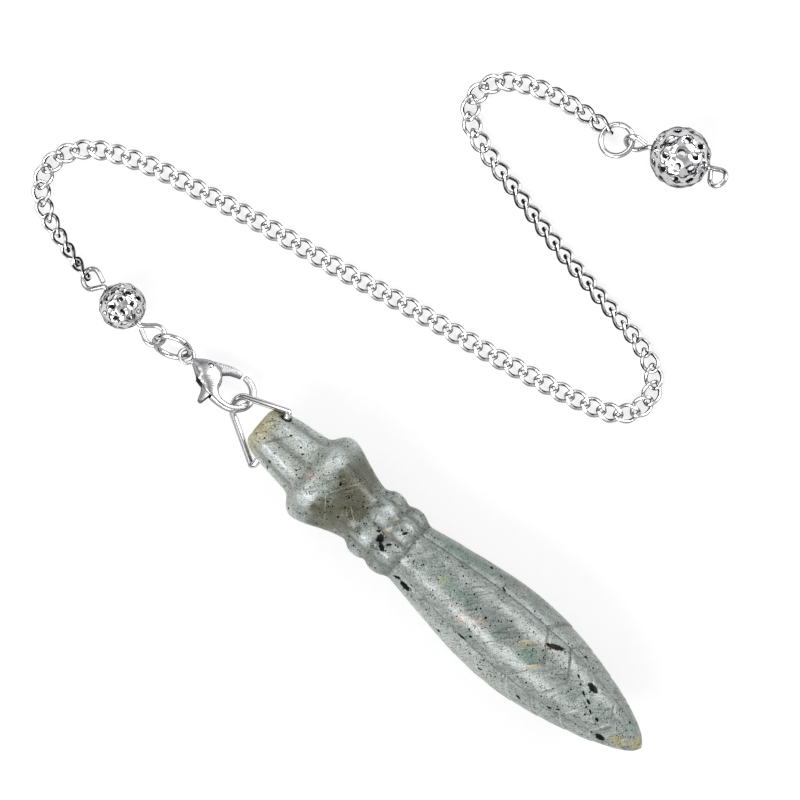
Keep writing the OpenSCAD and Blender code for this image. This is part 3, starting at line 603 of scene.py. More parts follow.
one_needle = needle_group()
print("needles:", {tone: len(rows) for tone, rows in NEEDLES.items()})

# %% [markdown]
# ## Stone: cloudy ground
# Polished labradorite is never one even tone. The ground is made of noises of growing fineness:
# milky clouds, fibres that all slant one way, and grain. Each is worked out in the stone's own
# frame, so that the fibres keep their slant when the pendant is laid another way.

# %% Stone: cloudy ground
labradorite, tree, shader, place = new_finish("labradorite")
spot = add(tree, "ShaderNodeMapping", {
    "Vector": place, "Location": STONE_PLACE.to_translation(),
    "Rotation": STONE_PLACE.to_euler(), "Scale": (MM, MM, MM)}, vector_type="TEXTURE").outputs[0]


def cloud(scale, detail=4, rough=0.55, stretch=(1, 1, 1), turn=(0, 0, 0)):
    """Noise over the stone. A stretch along one axis and a turn make fibres of it."""
    laid = add(tree, "ShaderNodeMapping", {"Vector": spot, "Rotation": turn, "Scale": stretch},
               vector_type="TEXTURE")
    return add(tree, "ShaderNodeTexNoise", {
        "Vector": laid.outputs[0], "Scale": scale, "Detail": detail, "Roughness": rough}
    ).outputs["Fac"]


def times(first, second):
    """The product that weakens one mask by another, or by a number."""
    return maths(tree, "MULTIPLY", first, second)


FIBRE_WAY = (0, 0, math.radians(52))
milky = cloud(0.35, 5)
grainy = cloud(2.6, 4, 0.65)
fibrous = cloud(1.3, 4, 0.6, stretch=(3, 1, 1), turn=FIBRE_WAY)
hairy = cloud(3.4, 2, 0.5, stretch=(11, 1, 1), turn=FIBRE_WAY)
mottled = cloud(5.5, 3, 0.7)
salted = cloud(9.5, 2, 0.6)
colour = blended(tree, level(tree, milky, 0.35, 0.65), linear(124, 134, 127),
                 linear(159, 168, 163))
colour = blended(tree, level(tree, grainy, 0.25, 0.75, 0, 0.5), colour, linear(184, 192, 188))
colour = blended(tree, level(tree, fibrous, 0.45, 0.66, 0, 0.5), colour, linear(98, 110, 103))
print("noises of the ground:", sum(n.type == "TEX_NOISE" for n in tree.nodes))

# %% [markdown]
# ## Stone: zones and flashes
# The neck's end is rusty, the waist under the knob is olive and brown, and layers inside flash
# teal, gold and pink. On a real stone a flash comes and goes with the angle. Here it is a fixed
# colour, because a finish may not depend on the view. Noise is added to each field before its
# edge is cut.

# %% Stone: zones and flashes
RAGGED, CREST_RAGGED = 0.5, 0.3
earthy = level(tree, mottled, 0.46, 0.58)
glints = times(level(tree, salted, 0.42, 0.58, 0.2, 0.8), level(tree, hairy, 0.45, 0.6, 1.0, 0.5))
# Columns: field, noise at its edge or 0 for none, where it begins and is full, strength, tone
ZONES = (
    # Pale: a painted highlight on the knob's lower lobe and painted light on the leaf's lower side
    ("pale", fibrous, 0.65, 1.0, 0.42, (206, 211, 203)),
    ("olive", fibrous, 0.5, 0.95, 0.82, (74, 71, 34)),
    ("brown", grainy, 0.6, 1.0, earthy, (66, 60, 30)),
    # Painted shade in the crevices and in the valleys between the lobes
    ("crevice", 0, 0.15, 0.85, 0.58, (84, 88, 76)),
    ("grey", fibrous, 0.5, 1.1, 0.45, (98, 104, 99)),
    ("rust", grainy, 0.55, 1.1, 0.6, (196, 184, 124)),
    ("teal", fibrous, 0.6, 1.2, 0.52, (114, 150, 132)),
    ("gold", mottled, 0.65, 1.1, glints, (226, 208, 158)),
    ("pink", fibrous, 0.6, 1.3, 0.28, (232, 182, 160)),
    # Painted highlight on the lobes' crests
    ("crest", milky, 0.25, 0.95, 0.46, (214, 225, 226)))
zones = {}
for name, edge_noise, begin, full, strength, tone in ZONES:
    much = CREST_RAGGED if name == "crest" else RAGGED
    grown = maths(tree, "ADD", field(tree, name), times(edge_noise, much))
    zones[name] = level(tree, grown, begin, full)
    colour = blended(tree, times(zones[name], strength), colour, linear(*tone))
# Columns: noise, where it begins and is full, brightness at both
for speckle, begin, full, bright, dim in (
        (mottled, 0.33, 0.67, 1.4, 0.57), (salted, 0.36, 0.64, 1.24, 0.76),
        (hairy, 0.58, 0.68, 1.0, 0.45)):
    colour = blended(tree, 1.0, colour, level(tree, speckle, begin, full, bright, dim), "MULTIPLY")
print("zones:", ", ".join(zones))

# %% [markdown]
# ## Stone: veins and needles
# The carved veins get a painted highlight, most of all on the stone's lower side. Painted shade
# darkens the valleys, more on the upper side, and the upper half of the first vein. Needles
# wander a little off a straight line, so the place that they are measured at is pushed by a noise.

# %% Stone: veins and needles
NEEDLE_BEND = 0.12
SHADOW_HALF, HIGHLIGHT_LOSS_ABOVE, VEIN_SHADE = 0.4, 0.45, 0.6
flat = add(tree, "ShaderNodeVectorMath", {0: spot, 1: (1, 1, 0)}, operation="MULTIPLY")
bent = add(tree, "ShaderNodeVectorMath", {
    0: add(tree, "ShaderNodeTexNoise", {"Vector": spot, "Scale": 1.5}).outputs["Color"],
    1: (NEEDLE_BEND, NEEDLE_BEND, 0)}, operation="MULTIPLY")
laid = add(tree, "ShaderNodeVectorMath", {0: flat.outputs[0], 1: bent.outputs[0]},
           operation="ADD").outputs[0]
masks = {"dark": 0.0, "pale": 0.0}
for tone, rows in NEEDLES.items():
    for start, end, width in rows:
        made = add(tree, "ShaderNodeGroup", {
            "Place": laid, "Width": width,
            "From": (start[0] + NEEDLE_BEND / 2, start[1] + NEEDLE_BEND / 2, 0),
            "Along": (end[0] - start[0], end[1] - start[1], 0)}, node_tree=one_needle)
        masks[tone] = maths(tree, "MAXIMUM", masks[tone], made.outputs[0])

side = add(tree, "ShaderNodeSeparateXYZ", {"Vector": spot}).outputs["Y"]
upper = level(tree, side, -SHADOW_HALF, SHADOW_HALF)
first_vein, other_veins = field(tree, "first_vein"), field(tree, "other_veins")
vein_highlight = maths(tree, "MAXIMUM", times(first_vein, maths(tree, "SUBTRACT", 1.0, upper)),
              times(other_veins, maths(tree, "SUBTRACT", 1.0, times(upper, HIGHLIGHT_LOSS_ABOVE))))
vein_and_valley_shade = maths(tree, "MAXIMUM", times(times(first_vein, upper), VEIN_SHADE), field(tree, "valley"))
vein_and_valley_shade = times(vein_and_valley_shade, maths(tree, "ADD", 0.45, times(upper, 0.5)))
# The first row lays painted shade, the second a painted highlight; the needles are the stone's own
# Columns: mask, strength, tone
for mask, strength, tone in (
        (vein_and_valley_shade, level(tree, grainy, 0.35, 0.6, 0.35, 1.0), (38, 44, 42)),
        (level(tree, vein_highlight, 0.5, 1.0), 0.6, (212, 216, 206)),
        (masks["dark"], level(tree, mottled, 0.35, 0.6, 0.2, 0.8), (42, 58, 55)),
        (masks["pale"], level(tree, mottled, 0.35, 0.6, 0.5, 0.05), (214, 214, 200))):
    colour = blended(tree, times(mask, strength), colour, linear(*tone))
print("nodes so far:", len(tree.nodes))

# %% [markdown]
# ## Stone: black grains
# Black grains are strewn over the stone in three sizes. Voronoi cells give one grain to a cell,
# and most cells are left empty. The measured spots join them in one mask. Black mineral neither
# glows from inside nor shines much, so that mask lowers both as well as the colour.

# %% Stone: black grains
# Columns: cells to a mm, greatest radius as a share of a cell, share of cells with a grain
GRAINS = ((1.3, 0.23, 0.6), (2.4, 0.34, 0.6), (4.2, 0.4, 0.5))
SHINE, GLOW = 0.5, 0.25
crowd = level(tree, cloud(0.5, 3), 0.4, 0.62, 0.35, 1.0)
black = 0.0
for scale, size, filled in GRAINS:
    cells = add(tree, "ShaderNodeTexVoronoi", {"Vector": spot, "Scale": scale})
    chosen = add(tree, "ShaderNodeSeparateColor", {"Color": cells.outputs["Color"]})
    kept = maths(tree, "LESS_THAN", chosen.outputs["Red"], times(crowd, filled))
    reach = times(chosen.outputs["Green"], size)
    grain = times(kept, maths(tree, "LESS_THAN", cells.outputs["Distance"], reach))
    black = maths(tree, "MAXIMUM", black, grain)
ragged = maths(tree, "ADD", field(tree, "black"), times(cloud(4.5, 3, 0.7), 0.6))
black = maths(tree, "MAXIMUM", black, level(tree, ragged, 0.84, 0.9))
colour = blended(tree, black, colour, linear(8, 9, 12))
dull = maths(tree, "MAXIMUM", times(black, 0.45), times(zones["olive"], 0.16))
tree.links.new(maths(tree, "SUBTRACT", SHINE, dull), shader.inputs["Specular IOR Level"])
opaque = times(black, GLOW)
tree.links.new(maths(tree, "SUBTRACT", GLOW, opaque), shader.inputs["Subsurface Weight"])
print("nodes so far:", len(tree.nodes))

# %% [markdown]
# ## Stone: gloss and relief
# The tones above were matched as they look under lamps, so one factor takes them down to what the
# stone itself reflects. A little light passes under the surface. The polish is uneven, the grain
# is felt as a very low relief, and the needles are tiny scratches.

# %% Stone: gloss and relief
DEPTH_OF_TONE, GRAIN_RELIEF, NEEDLE_RELIEF = 0.47, 0.03, 0.05
colour = blended(tree, 1.0, colour, [DEPTH_OF_TONE] * 3 + [1], "MULTIPLY")
tree.links.new(colour, shader.inputs["Base Color"])
polish = level(tree, cloud(0.8, 4), 0.35, 0.7, 0.3, 0.44)
tree.links.new(polish, shader.inputs["Roughness"])
bump = add(tree, "ShaderNodeBump", {
    "Height": maths(tree, "ADD", times(grainy, 0.6), cloud(9, 3)),
    "Strength": 0.35, "Distance": GRAIN_RELIEF * MM})
scratch = add(tree, "ShaderNodeBump", {
    "Height": maths(tree, "ADD", masks["pale"], masks["dark"]), "Strength": 0.5,
    "Distance": NEEDLE_RELIEF * MM, "Normal": bump.outputs[0]}, invert=True)
tree.links.new(scratch.outputs[0], shader.inputs["Normal"])
shader.inputs["IOR"].default_value = 1.56
shader.inputs["Subsurface Radius"].default_value = (1.0, 1.0, 0.9)
shader.inputs["Subsurface Scale"].default_value = 0.7 * MM
stone.data.materials.append(labradorite)
drill.data.materials.append(labradorite)
hand_over(stone, "stone", crease=75)
bpy.data.objects.remove(drill)

# %% [markdown]
# ## Helpers for Geometry Nodes
# Wire, beads and chain are made by Geometry Nodes, because they follow a path or repeat a shape.
# Each tree has named inputs for its sizes, so one tree serves several pieces. These helpers start
# a tree, end it, and give it to an object together with the values of its inputs.

# %% Helpers for Geometry Nodes
def new_tree(name, inputs):
    """An empty Geometry Nodes tree with named inputs and one output."""
    tree = bpy.data.node_groups.new(name, "GeometryNodeTree")
    for label, kind in [("Shape", "Geometry")] + inputs:
        tree.interface.new_socket(label, in_out="INPUT", socket_type="NodeSocket" + kind)
    tree.interface.new_socket("Shape", in_out="OUTPUT", socket_type="NodeSocketGeometry")
    return tree, tree.nodes.new("NodeGroupInput").outputs


def close_tree(tree, shape, finish):
    """Every tree ends the same way: real geometry with its finish."""
    real = add(tree, "GeometryNodeRealizeInstances", {0: shape})
    painted = add(tree, "GeometryNodeSetMaterial", {
        "Geometry": real.outputs[0], "Material": finish})
    add(tree, "NodeGroupOutput", {0: painted.outputs[0]})


def use_tree(source, tree, values):
    """Adds the tree to an object. Values go in by the socket's identifier."""
    modifier = source.modifiers.new(tree.name, "NODES")
    modifier.node_group = tree
    sockets = {item.name: item.identifier for item in tree.interface.items_tree
               if item.in_out == "INPUT"}
    for label, value in values.items():
        modifier[sockets[label]] = value
    return source


print("trees so far:", len(bpy.data.node_groups))

# %% [markdown]
# ## Bent wire
# The bail, the jump rings and the eye wires are all one round wire bent to a shape. The tree
# sweeps a circle along the path that a piece gives it, and closes the ends.

# %% Bent wire
wire_tree, given = new_tree("bent_wire", [
    ("Wire radius", "Float"), ("Sides", "Int"), ("Finish", "Material")])
path = add(wire_tree, "GeometryNodeMeshToCurve", {"Mesh": given["Shape"]})
section = add(wire_tree, "GeometryNodeCurvePrimitiveCircle", {
    "Resolution": given["Sides"], "Radius": given["Wire radius"]})
swept = add(wire_tree, "GeometryNodeCurveToMesh", {
    "Curve": path.outputs[0], "Profile Curve": section.outputs[0], "Fill Caps": True})
close_tree(wire_tree, swept.outputs[0], given["Finish"])


def bent_wire(name, path, diameter, sides, finish, place, closed=False):
    """Path is in the piece's own frame, in mm."""
    count = len(path)
    edges = [(i, (i + 1) % count) for i in range(count if closed else count - 1)]
    mesh = bpy.data.meshes.new(name)
    mesh.from_pydata([tuple(p) for p in path], edges, [])
    mesh.transform(place)
    return use_tree(new_object(name, mesh), wire_tree, {
        "Wire radius": diameter / 2 * MM, "Sides": sides, "Finish": finish})


def arc(centre, radius, start, end, steps):
    """Points of an arc in the XY plane, angles in degrees."""
    turns = np.radians(np.linspace(start, end, steps + 1))
    return [np.array([centre[0] + radius * math.cos(t), centre[1] + radius * math.sin(t), 0.0])
            for t in turns]


print("nodes in the wire's tree:", len(wire_tree.nodes))

# %% [markdown]
# ## Triangle bail
# The bail is a closed triangle of wire. Its base runs through the drilled hole, so it is placed in
# the drill's own frame and dropped about the hole. Its round top hangs in the hook.

# %% Triangle bail
BAIL_WIRE, BAIL_BASE, BAIL_HEIGHT = 0.86, 10, 8.9
CORNER_R, TOP_R, BAIL_DROP, BAIL_SLIDE = 0.8, 1.65, 26, 0.55
half_top = math.degrees(math.atan(BAIL_BASE / 2 / BAIL_HEIGHT))
side_way = 90 - half_top
corner_y = BAIL_BASE / 2 - CORNER_R / math.tan(math.radians(side_way / 2))
top_x = BAIL_HEIGHT - TOP_R / math.sin(math.radians(half_top))
bail_path = (
    arc((-CORNER_R, corner_y), CORNER_R, 0, side_way, 12)
    + arc((-top_x, 0), TOP_R, 180 - side_way, 180 + side_way, 28)
    + arc((-CORNER_R, -corner_y), CORNER_R, -side_way, 0, 12))
bail_place = (drill_place @ Matrix.Rotation(math.radians(-BAIL_DROP), 4, "Y")
              @ Matrix.Translation((0, -BAIL_SLIDE, 0)))
bail = bent_wire("bail_path", bail_path, BAIL_WIRE, 28, bail_finish, bail_place, closed=True)
hand_over(bail, "triangle_bail", crease=60)

# %% [markdown]
# ## Jump rings
# A jump ring is a turn of wire cut from a coil. The saw cut stays visible as a thin slit.

# %% Jump rings
RING_CUT = 0.1


def jump_ring(name, outer, wire, cut_angle, place):
    """Outer is the ring's and wire the wire's diameter in mm."""
    radius = (outer - wire) / 2
    slit = math.degrees(RING_CUT / radius)
    path = arc((0, 0), radius, cut_angle + slit / 2, cut_angle + 360 - slit / 2, 96)
    ring = bent_wire(name + "_path", path, wire, 24, wire_finish, place)
    hand_over(ring, name)


jump_ring("clasp_ring", 5.2, 0.7, 55, placed((60, 0, -19), (-25.327, 7.7823, 2.7339)))
jump_ring("end_ring", 4.65, 0.68, 130, placed((0, -18, -50), (28.9806, 33.0521, 1.6169)))

# %% [markdown]
# ## Eye wires
# A wire runs through each bead and is bent into a teardrop loop at both ends. Each loop is turned
# to lie the way its neighbour pulls it, and its free end stops just before the bead.

# %% Eye wires
EYE_WIRE, NECK_SHARE, NECK_CUT, LOOP_OPEN = 0.62, 1.75, 0.3, 0.5
SMALL_BEAD, LARGE_BEAD = 5.8, 7.6
SMALL_PLACE = placed((0, 0, -49), (-31.4206, 12.7705, 2.91))
LARGE_PLACE = placed((0, -15.6572, -20), (36.6561, 30.8753, 3.80553))


def turned(turn, point):
    """A point turned about the origin, in degrees."""
    return np.array(Euler([math.radians(a) for a in turn]).to_matrix() @ Vector(point))


def teardrop(radius):
    """One loop from its neck round and back, lying along +X from the bead."""
    reach = NECK_SHARE * radius
    touch = 180 - math.degrees(math.acos(radius / reach))
    round_end = arc((reach, 0), radius, touch, -touch, 40)
    leg = round_end[0] / np.linalg.norm(round_end[0])
    return [leg * NECK_CUT] + round_end + [leg * np.array([1, -1, 1]) * LOOP_OPEN]


def smooth_path(points, rounds=2):
    """Rounds the corners of an open path."""
    for _ in range(rounds):
        cut = [points[0]]
        for a, b in zip(points[:-1], points[1:]):
            cut += [a * 0.75 + b * 0.25, a * 0.25 + b * 0.75]
        points = cut + [points[-1]]
    return points


def eye_wire(name, bead, loop_radius, left_turn, right_turn, place):
    """The straight part is a little longer than the bead, and each loop has a turn of its own."""
    half = bead / 2 + EYE_WIRE / 2
    loop = teardrop(loop_radius)
    left = [np.array([-half, 0, 0]) + turned(left_turn, -p) for p in loop[::-1]]
    right = [np.array([half, 0, 0]) + turned(right_turn, p) for p in loop]
    path = left + [np.array([NECK_CUT - half, 0, 0]), np.array([half - NECK_CUT, 0, 0])] + right
    wire = bent_wire(name + "_path", smooth_path(path), EYE_WIRE, 20, wire_finish, place)
    hand_over(wire, name, crease=60)


eye_wire("small_bead_wire", SMALL_BEAD, 1.25, (10, -30.0506, 22), (-15, -5.7361, 16), SMALL_PLACE)
eye_wire("large_bead_wire", LARGE_BEAD, 1.1, (50, 0, 6), (0, -28, -32), LARGE_PLACE)

# %% [markdown]
# ## Pierced beads: where the holes are
# Each bead is a hollow ball pressed from thin sheet, with rows of punched holes on both sides of
# its seam. The middles of the holes are worked out first. They are the points that the tree gets.

# %% Pierced beads: where the holes are
HOLE_ROWS, ROW_STEP = (14, 42, 68), 28


def hole_ways():
    """Unit vectors to the middle of each hole, in rows on both sides of the seam."""
    ways = []
    for side in (-1, 1):
        for row in HOLE_ROWS:
            count = round(360 * math.cos(math.radians(row)) / ROW_STEP)
            lift = math.radians(side * row)
            for k in range(count):
                round_it = math.radians((k + side * 0.25) * 360 / count)
                ways.append((math.cos(lift) * math.cos(round_it),
                             math.cos(lift) * math.sin(round_it), math.sin(lift)))
    return ways


print("holes in a bead:", len(hole_ways()))

# %% [markdown]
# ## Pierced beads: dented ball
# Thin sheet gives way under the punch, so the ball is pushed in near each hole, and a little along
# the seam where its two halves meet. Worn sheet is also crumpled, which breaks up its reflections.
# The tree moves each point of a ball inwards by the deeper of the first two and the last.

# %% Pierced beads: dented ball
# Share of a dent that the seam is deep, and the noise level that crumpling begins at
SEAM_SHARE, CRUMPLE_FROM = 0.45, 0.4
bead_tree, given = new_tree("pierced_bead", [
    ("Radius", "Float"), ("Wall", "Float"), ("Hole radius", "Float"), ("Rim", "Float"),
    ("Dent", "Float"), ("Wire hole radius", "Float"), ("Seam way", "Vector"),
    ("Seam width", "Float"), ("Crumple", "Float"), ("Crumple scale", "Float"), ("Seed", "Int"),
    ("Finish", "Material"), ("Inside shade finish", "Material")])
position = add(bead_tree, "GeometryNodeInputPosition").outputs[0]


def closeness(distance, reach):
    """From 1 at no distance to 0 at the reach."""
    return add(bead_tree, "ShaderNodeMapRange", {
        "Value": distance, "From Min": 0.0, "From Max": reach, "To Min": 1.0, "To Max": 0.0}
    ).outputs[0]


ball = add(bead_tree, "GeometryNodeMeshUVSphere", {
    "Segments": 160, "Rings": 96, "Radius": given["Radius"]}).outputs["Mesh"]
nearest = add(bead_tree, "GeometryNodeProximity", {0: given["Shape"]}, target_element="POINTS")
beside = maths(bead_tree, "SUBTRACT", nearest.outputs["Distance"], given["Hole radius"])
pressed = maths(bead_tree, "POWER", closeness(beside, given["Rim"]), 2.0)
depth = maths(bead_tree, "MULTIPLY", pressed, given["Dent"])
off_seam = add(bead_tree, "ShaderNodeVectorMath", {0: position, 1: given["Seam way"]},
               operation="DOT_PRODUCT").outputs["Value"]
by_seam = closeness(maths(bead_tree, "ABSOLUTE", off_seam, 0.0), given["Seam width"])
rolled = maths(bead_tree, "MULTIPLY", by_seam,
               maths(bead_tree, "MULTIPLY", given["Dent"], SEAM_SHARE))
depth = maths(bead_tree, "MAXIMUM", depth, rolled)
crumpled = add(bead_tree, "ShaderNodeTexNoise", {
    "Vector": position, "Scale": given["Crumple scale"], "Detail": 1.0}).outputs["Fac"]
crumpled = maths(bead_tree, "MAXIMUM", maths(bead_tree, "SUBTRACT", crumpled, CRUMPLE_FROM), 0.0)
depth = maths(bead_tree, "ADD", depth, maths(bead_tree, "MULTIPLY", given["Crumple"], crumpled))
inwards = add(bead_tree, "ShaderNodeVectorMath", {
    0: add(bead_tree, "GeometryNodeInputNormal").outputs[0],
    "Scale": maths(bead_tree, "MULTIPLY", depth, -1.0)}, operation="SCALE")
dented = add(bead_tree, "GeometryNodeSetPosition", {
    "Geometry": ball, "Offset": inwards.outputs[0]})
print("nodes so far:", len(bead_tree.nodes))

# %% [markdown]
# ## Pierced beads: hollow, holes and finish
# A smaller ball and the wire's hole are cut out first. Then an oval punch stands at each hole,
# turned at random about its own way, and all punches are cut away together. The inside of a bead
# is never polished and gets no light, so what lies deep is painted in shade, nearly black.

# %% Pierced beads: hollow, holes and finish
HOLE_OVAL, INSIDE_SKIN = 0.74, 0.04
inner = maths(bead_tree, "SUBTRACT", given["Radius"], given["Wall"])
hollow = add(bead_tree, "GeometryNodeMeshUVSphere", {
    "Segments": 64, "Rings": 40, "Radius": inner}).outputs["Mesh"]
wire_hole = add(bead_tree, "GeometryNodeMeshCylinder", {
    "Vertices": 24, "Radius": given["Wire hole radius"],
    "Depth": maths(bead_tree, "MULTIPLY", given["Radius"], 3.0)}).outputs["Mesh"]
punch = add(bead_tree, "GeometryNodeMeshCylinder", {
    "Vertices": 20, "Radius": given["Hole radius"], "Depth": given["Radius"]}).outputs["Mesh"]
outwards = add(bead_tree, "FunctionNodeAlignRotationToVector", {"Vector": position}, axis="Z")
spun = add(bead_tree, "FunctionNodeRandomValue", {2: 0.0, 3: math.pi, "Seed": given["Seed"]})
spin = add(bead_tree, "FunctionNodeAxisAngleToRotation", {
    "Axis": (0, 0, 1), "Angle": spun.outputs[1]})
way = add(bead_tree, "FunctionNodeRotateRotation", {
    0: outwards.outputs[0], 1: spin.outputs[0]}, rotation_space="LOCAL")
punches = add(bead_tree, "GeometryNodeInstanceOnPoints", {
    "Points": given["Shape"], "Instance": punch, "Rotation": way.outputs[0],
    "Scale": (1.0, HOLE_OVAL, 1.0)})
real_punches = add(bead_tree, "GeometryNodeRealizeInstances", {0: punches.outputs[0]})


def cut_away(shape, cutters):
    """The shape less the cutters, which all join one socket."""
    cut = add(bead_tree, "GeometryNodeMeshBoolean", {"Mesh 1": shape},
              operation="DIFFERENCE", solver="EXACT")
    for cutter in cutters:
        bead_tree.links.new(cutter, cut.inputs["Mesh 2"])
    return cut.outputs["Mesh"]


emptied = cut_away(dented.outputs[0], (wire_hole, hollow))
pierced = cut_away(emptied, (real_punches.outputs[0],))
real = add(bead_tree, "GeometryNodeRealizeInstances", {0: pierced})
plated = add(bead_tree, "GeometryNodeSetMaterial", {
    "Geometry": real.outputs[0], "Material": given["Finish"]})
# What lies deep inside gets the painted shade of the inside finish
deep = add(bead_tree, "ShaderNodeVectorMath", {0: position}, operation="LENGTH")
within = add(bead_tree, "FunctionNodeCompare", {
    0: deep.outputs["Value"], 1: maths(bead_tree, "ADD", inner, INSIDE_SKIN * MM)},
    data_type="FLOAT", operation="LESS_THAN")
shaded_inside = add(bead_tree, "GeometryNodeSetMaterial", {
    "Geometry": plated.outputs[0], "Selection": within.outputs[0],
    "Material": given["Inside shade finish"]})
add(bead_tree, "NodeGroupOutput", {0: shaded_inside.outputs[0]})
print("nodes in all:", len(bead_tree.nodes))

# %% [markdown]
# ## Pierced beads: both beads
# The tree works on an upright bead at the origin. Its mesh is then laid down along the wire and
# rolled about it, and only that finished mesh goes to its place.

# %% Pierced beads: both beads
BEAD_WALL, RIM, DENT, WIRE_PLAY = 0.3, 0.3, 0.08, 0.1
SEAM_WIDTH, CRUMPLE, CRUMPLES_PER_MM, SPIN_SEED = 0.14, 0.42, 0.95, 4


def pierced_bead(name, diameter, hole, roll, seam, place):
    """Sizes in mm, the roll about the wire and the way of the seam in degrees."""
    radius = diameter / 2
    mesh = bpy.data.meshes.new(name)
    mesh.from_pydata([tuple(radius * MM * c for c in way) for way in hole_ways()], [], [])
    bead = use_tree(new_object(name + "_holes", mesh), bead_tree, {
        "Radius": radius * MM, "Wall": BEAD_WALL * MM, "Hole radius": hole / 2 * MM,
        "Rim": RIM * MM, "Dent": DENT * MM, "Wire hole radius": (EYE_WIRE / 2 + WIRE_PLAY) * MM,
        "Seam way": (math.cos(math.radians(seam)), math.sin(math.radians(seam)), 0.0),
        "Seam width": SEAM_WIDTH * MM, "Crumple": CRUMPLE * MM,
        "Crumple scale": CRUMPLES_PER_MM / MM, "Seed": SPIN_SEED,
        "Finish": bead_finish, "Inside shade finish": inside_shade_finish})
    made = real_mesh(bead)
    bpy.data.objects.remove(bead)
    laid_down = (Matrix.Rotation(math.radians(roll), 4, "X")
                 @ Matrix.Rotation(math.radians(90), 4, "Y"))
    made.transform(place @ Matrix.Scale(1 / MM, 4) @ laid_down)
    hand_over(new_object(name + "_ball", made), name, crease=35)


pierced_bead("small_bead", SMALL_BEAD, 0.86, 30, 35, SMALL_PLACE)
pierced_bead("large_bead", LARGE_BEAD, 1.14, 15, 50, LARGE_PLACE)

# %% [markdown]
# ## Clasp body: loft
# The body of the lobster clasp is cast in one piece with its hook. It is a loft over rounded
# sections that taper from the eye to the hook's tip, with a flat face and softly rounded edges.

# %% Clasp body: loft
CLASP_LENGTH, CLASP_HALF, CLASP_THICK = 10.1, 3.4, 2.4
SQUARENESS, SECTION_POINTS = 0.72, 48
CLASP_PLACE = placed((-25, -7.50675, -42), (-23.5978, 6.64671, 1.84922))
# Columns: place along and across, half width, half thickness, as shares of the clasp's own
CLASP_SECTIONS = np.array([
    (0.089, 0.02, 0.11, 0.2), (0.14, 0.05, 0.19, 0.44), (0.215, 0.07, 0.33, 0.78),
    (0.295, 0.065, 0.45, 0.96), (0.37, -0.005, 0.51, 1), (0.435, -0.15, 0.425, 0.92),
    (0.495, -0.31, 0.305, 0.78), (0.565, -0.42, 0.22, 0.62), (0.65, -0.475, 0.153, 0.5),
    (0.745, -0.455, 0.137, 0.42), (0.83, -0.365, 0.134, 0.41), (0.9, -0.19, 0.133, 0.41),
    (0.946, 0.05, 0.133, 0.41), (0.951, 0.3, 0.133, 0.41), (0.921, 0.55, 0.131, 0.4),
    (0.86, 0.755, 0.126, 0.39), (0.785, 0.865, 0.116, 0.37), (0.725, 0.89, 0.104, 0.35),
    (0.69, 0.885, 0.093, 0.33)])
CLASP_SCALE = (CLASP_LENGTH, CLASP_HALF, CLASP_HALF, CLASP_THICK / 2)


def spline(rows, steps):
    """A smooth curve through rows of numbers."""
    rows = np.concatenate([[2 * rows[0] - rows[1]], rows, [2 * rows[-1] - rows[-2]]])
    t = np.linspace(0, 1, steps, endpoint=False)[:, None]
    made = []
    for a, b, c, d in zip(rows, rows[1:], rows[2:], rows[3:]):
        made.append(0.5 * (2 * b + (c - a) * t + (2 * a - 5 * b + 4 * c - d) * t ** 2
                           + (3 * b - a - 3 * c + d) * t ** 3))
    return np.concatenate(made + [rows[-2:-1]])


def squared_off(values):
    """A circle's cosines or sines, pushed out towards a square with round corners."""
    return np.sign(values) * np.abs(values) ** SQUARENESS


sections = spline(CLASP_SECTIONS * CLASP_SCALE, 8)
spine = np.column_stack([sections[:, :2], np.zeros(len(sections))])
ways = np.gradient(spine, axis=0)
ways /= np.linalg.norm(ways, axis=1)[:, None]
across = np.column_stack([-ways[:, 1], ways[:, 0], np.zeros(len(ways))])
turns = np.linspace(0, 2 * np.pi, SECTION_POINTS, endpoint=False)
wide = squared_off(np.cos(turns))[None, :] * sections[:, 2:3]
thick = squared_off(np.sin(turns))[None, :] * sections[:, 3:4]
clasp_rings = (spine[:, None] + across[:, None] * wide[..., None]
               + np.array([0, 0, 1]) * thick[..., None])
ends = [spine[0] - ways[0] * 0.02, spine[-1] + ways[-1] * 0.1]
clasp_mesh = skin("clasp_loft", clasp_rings, tips=ends)
print("clasp's sections:", len(sections))

# %% [markdown]
# ## Clasp body: eye and casting
# The eye at the clasp's end is a ring. A voxel remesh melts loft and ring into one casting, with
# no seam between them, and smoothing wears its edges.

# %% Clasp body: eye and casting
EYE_RING, EYE_ROD, ROD_POINTS = 0.9, 0.25, 24
eye_rings = np.array([[((EYE_RING + EYE_ROD * math.cos(b)) * math.cos(a),
                        (EYE_RING + EYE_ROD * math.cos(b)) * math.sin(a), EYE_ROD * math.sin(b))
                       for b in np.linspace(0, 2 * np.pi, ROD_POINTS, endpoint=False)]
                      for a in [math.radians(d) for d in range(0, 360, 5)]])
eye_mesh = skin("eye", eye_rings, closed=True)
shape = bmesh.new()
shape.from_mesh(clasp_mesh)
shape.from_mesh(eye_mesh)
shape.to_mesh(clasp_mesh)
shape.free()
clasp_mesh.materials.append(cast_finish)
clasp = new_object("clasp_loft", clasp_mesh)
fused = clasp.modifiers.new("fused", "REMESH")
fused.mode, fused.voxel_size, fused.adaptivity = "VOXEL", 0.07, 0
eased = clasp.modifiers.new("eased", "SMOOTH")
eased.iterations, eased.factor = 4, 0.5
print("clasp's modifiers:", clasp.modifiers.keys())

# %% [markdown]
# ## Helpers for plates and cuts
# The lever, its slot and the rivet's holes are all flat outlines with a thickness. A cut that the
# next cut builds on is made real at once, and its tool is removed.

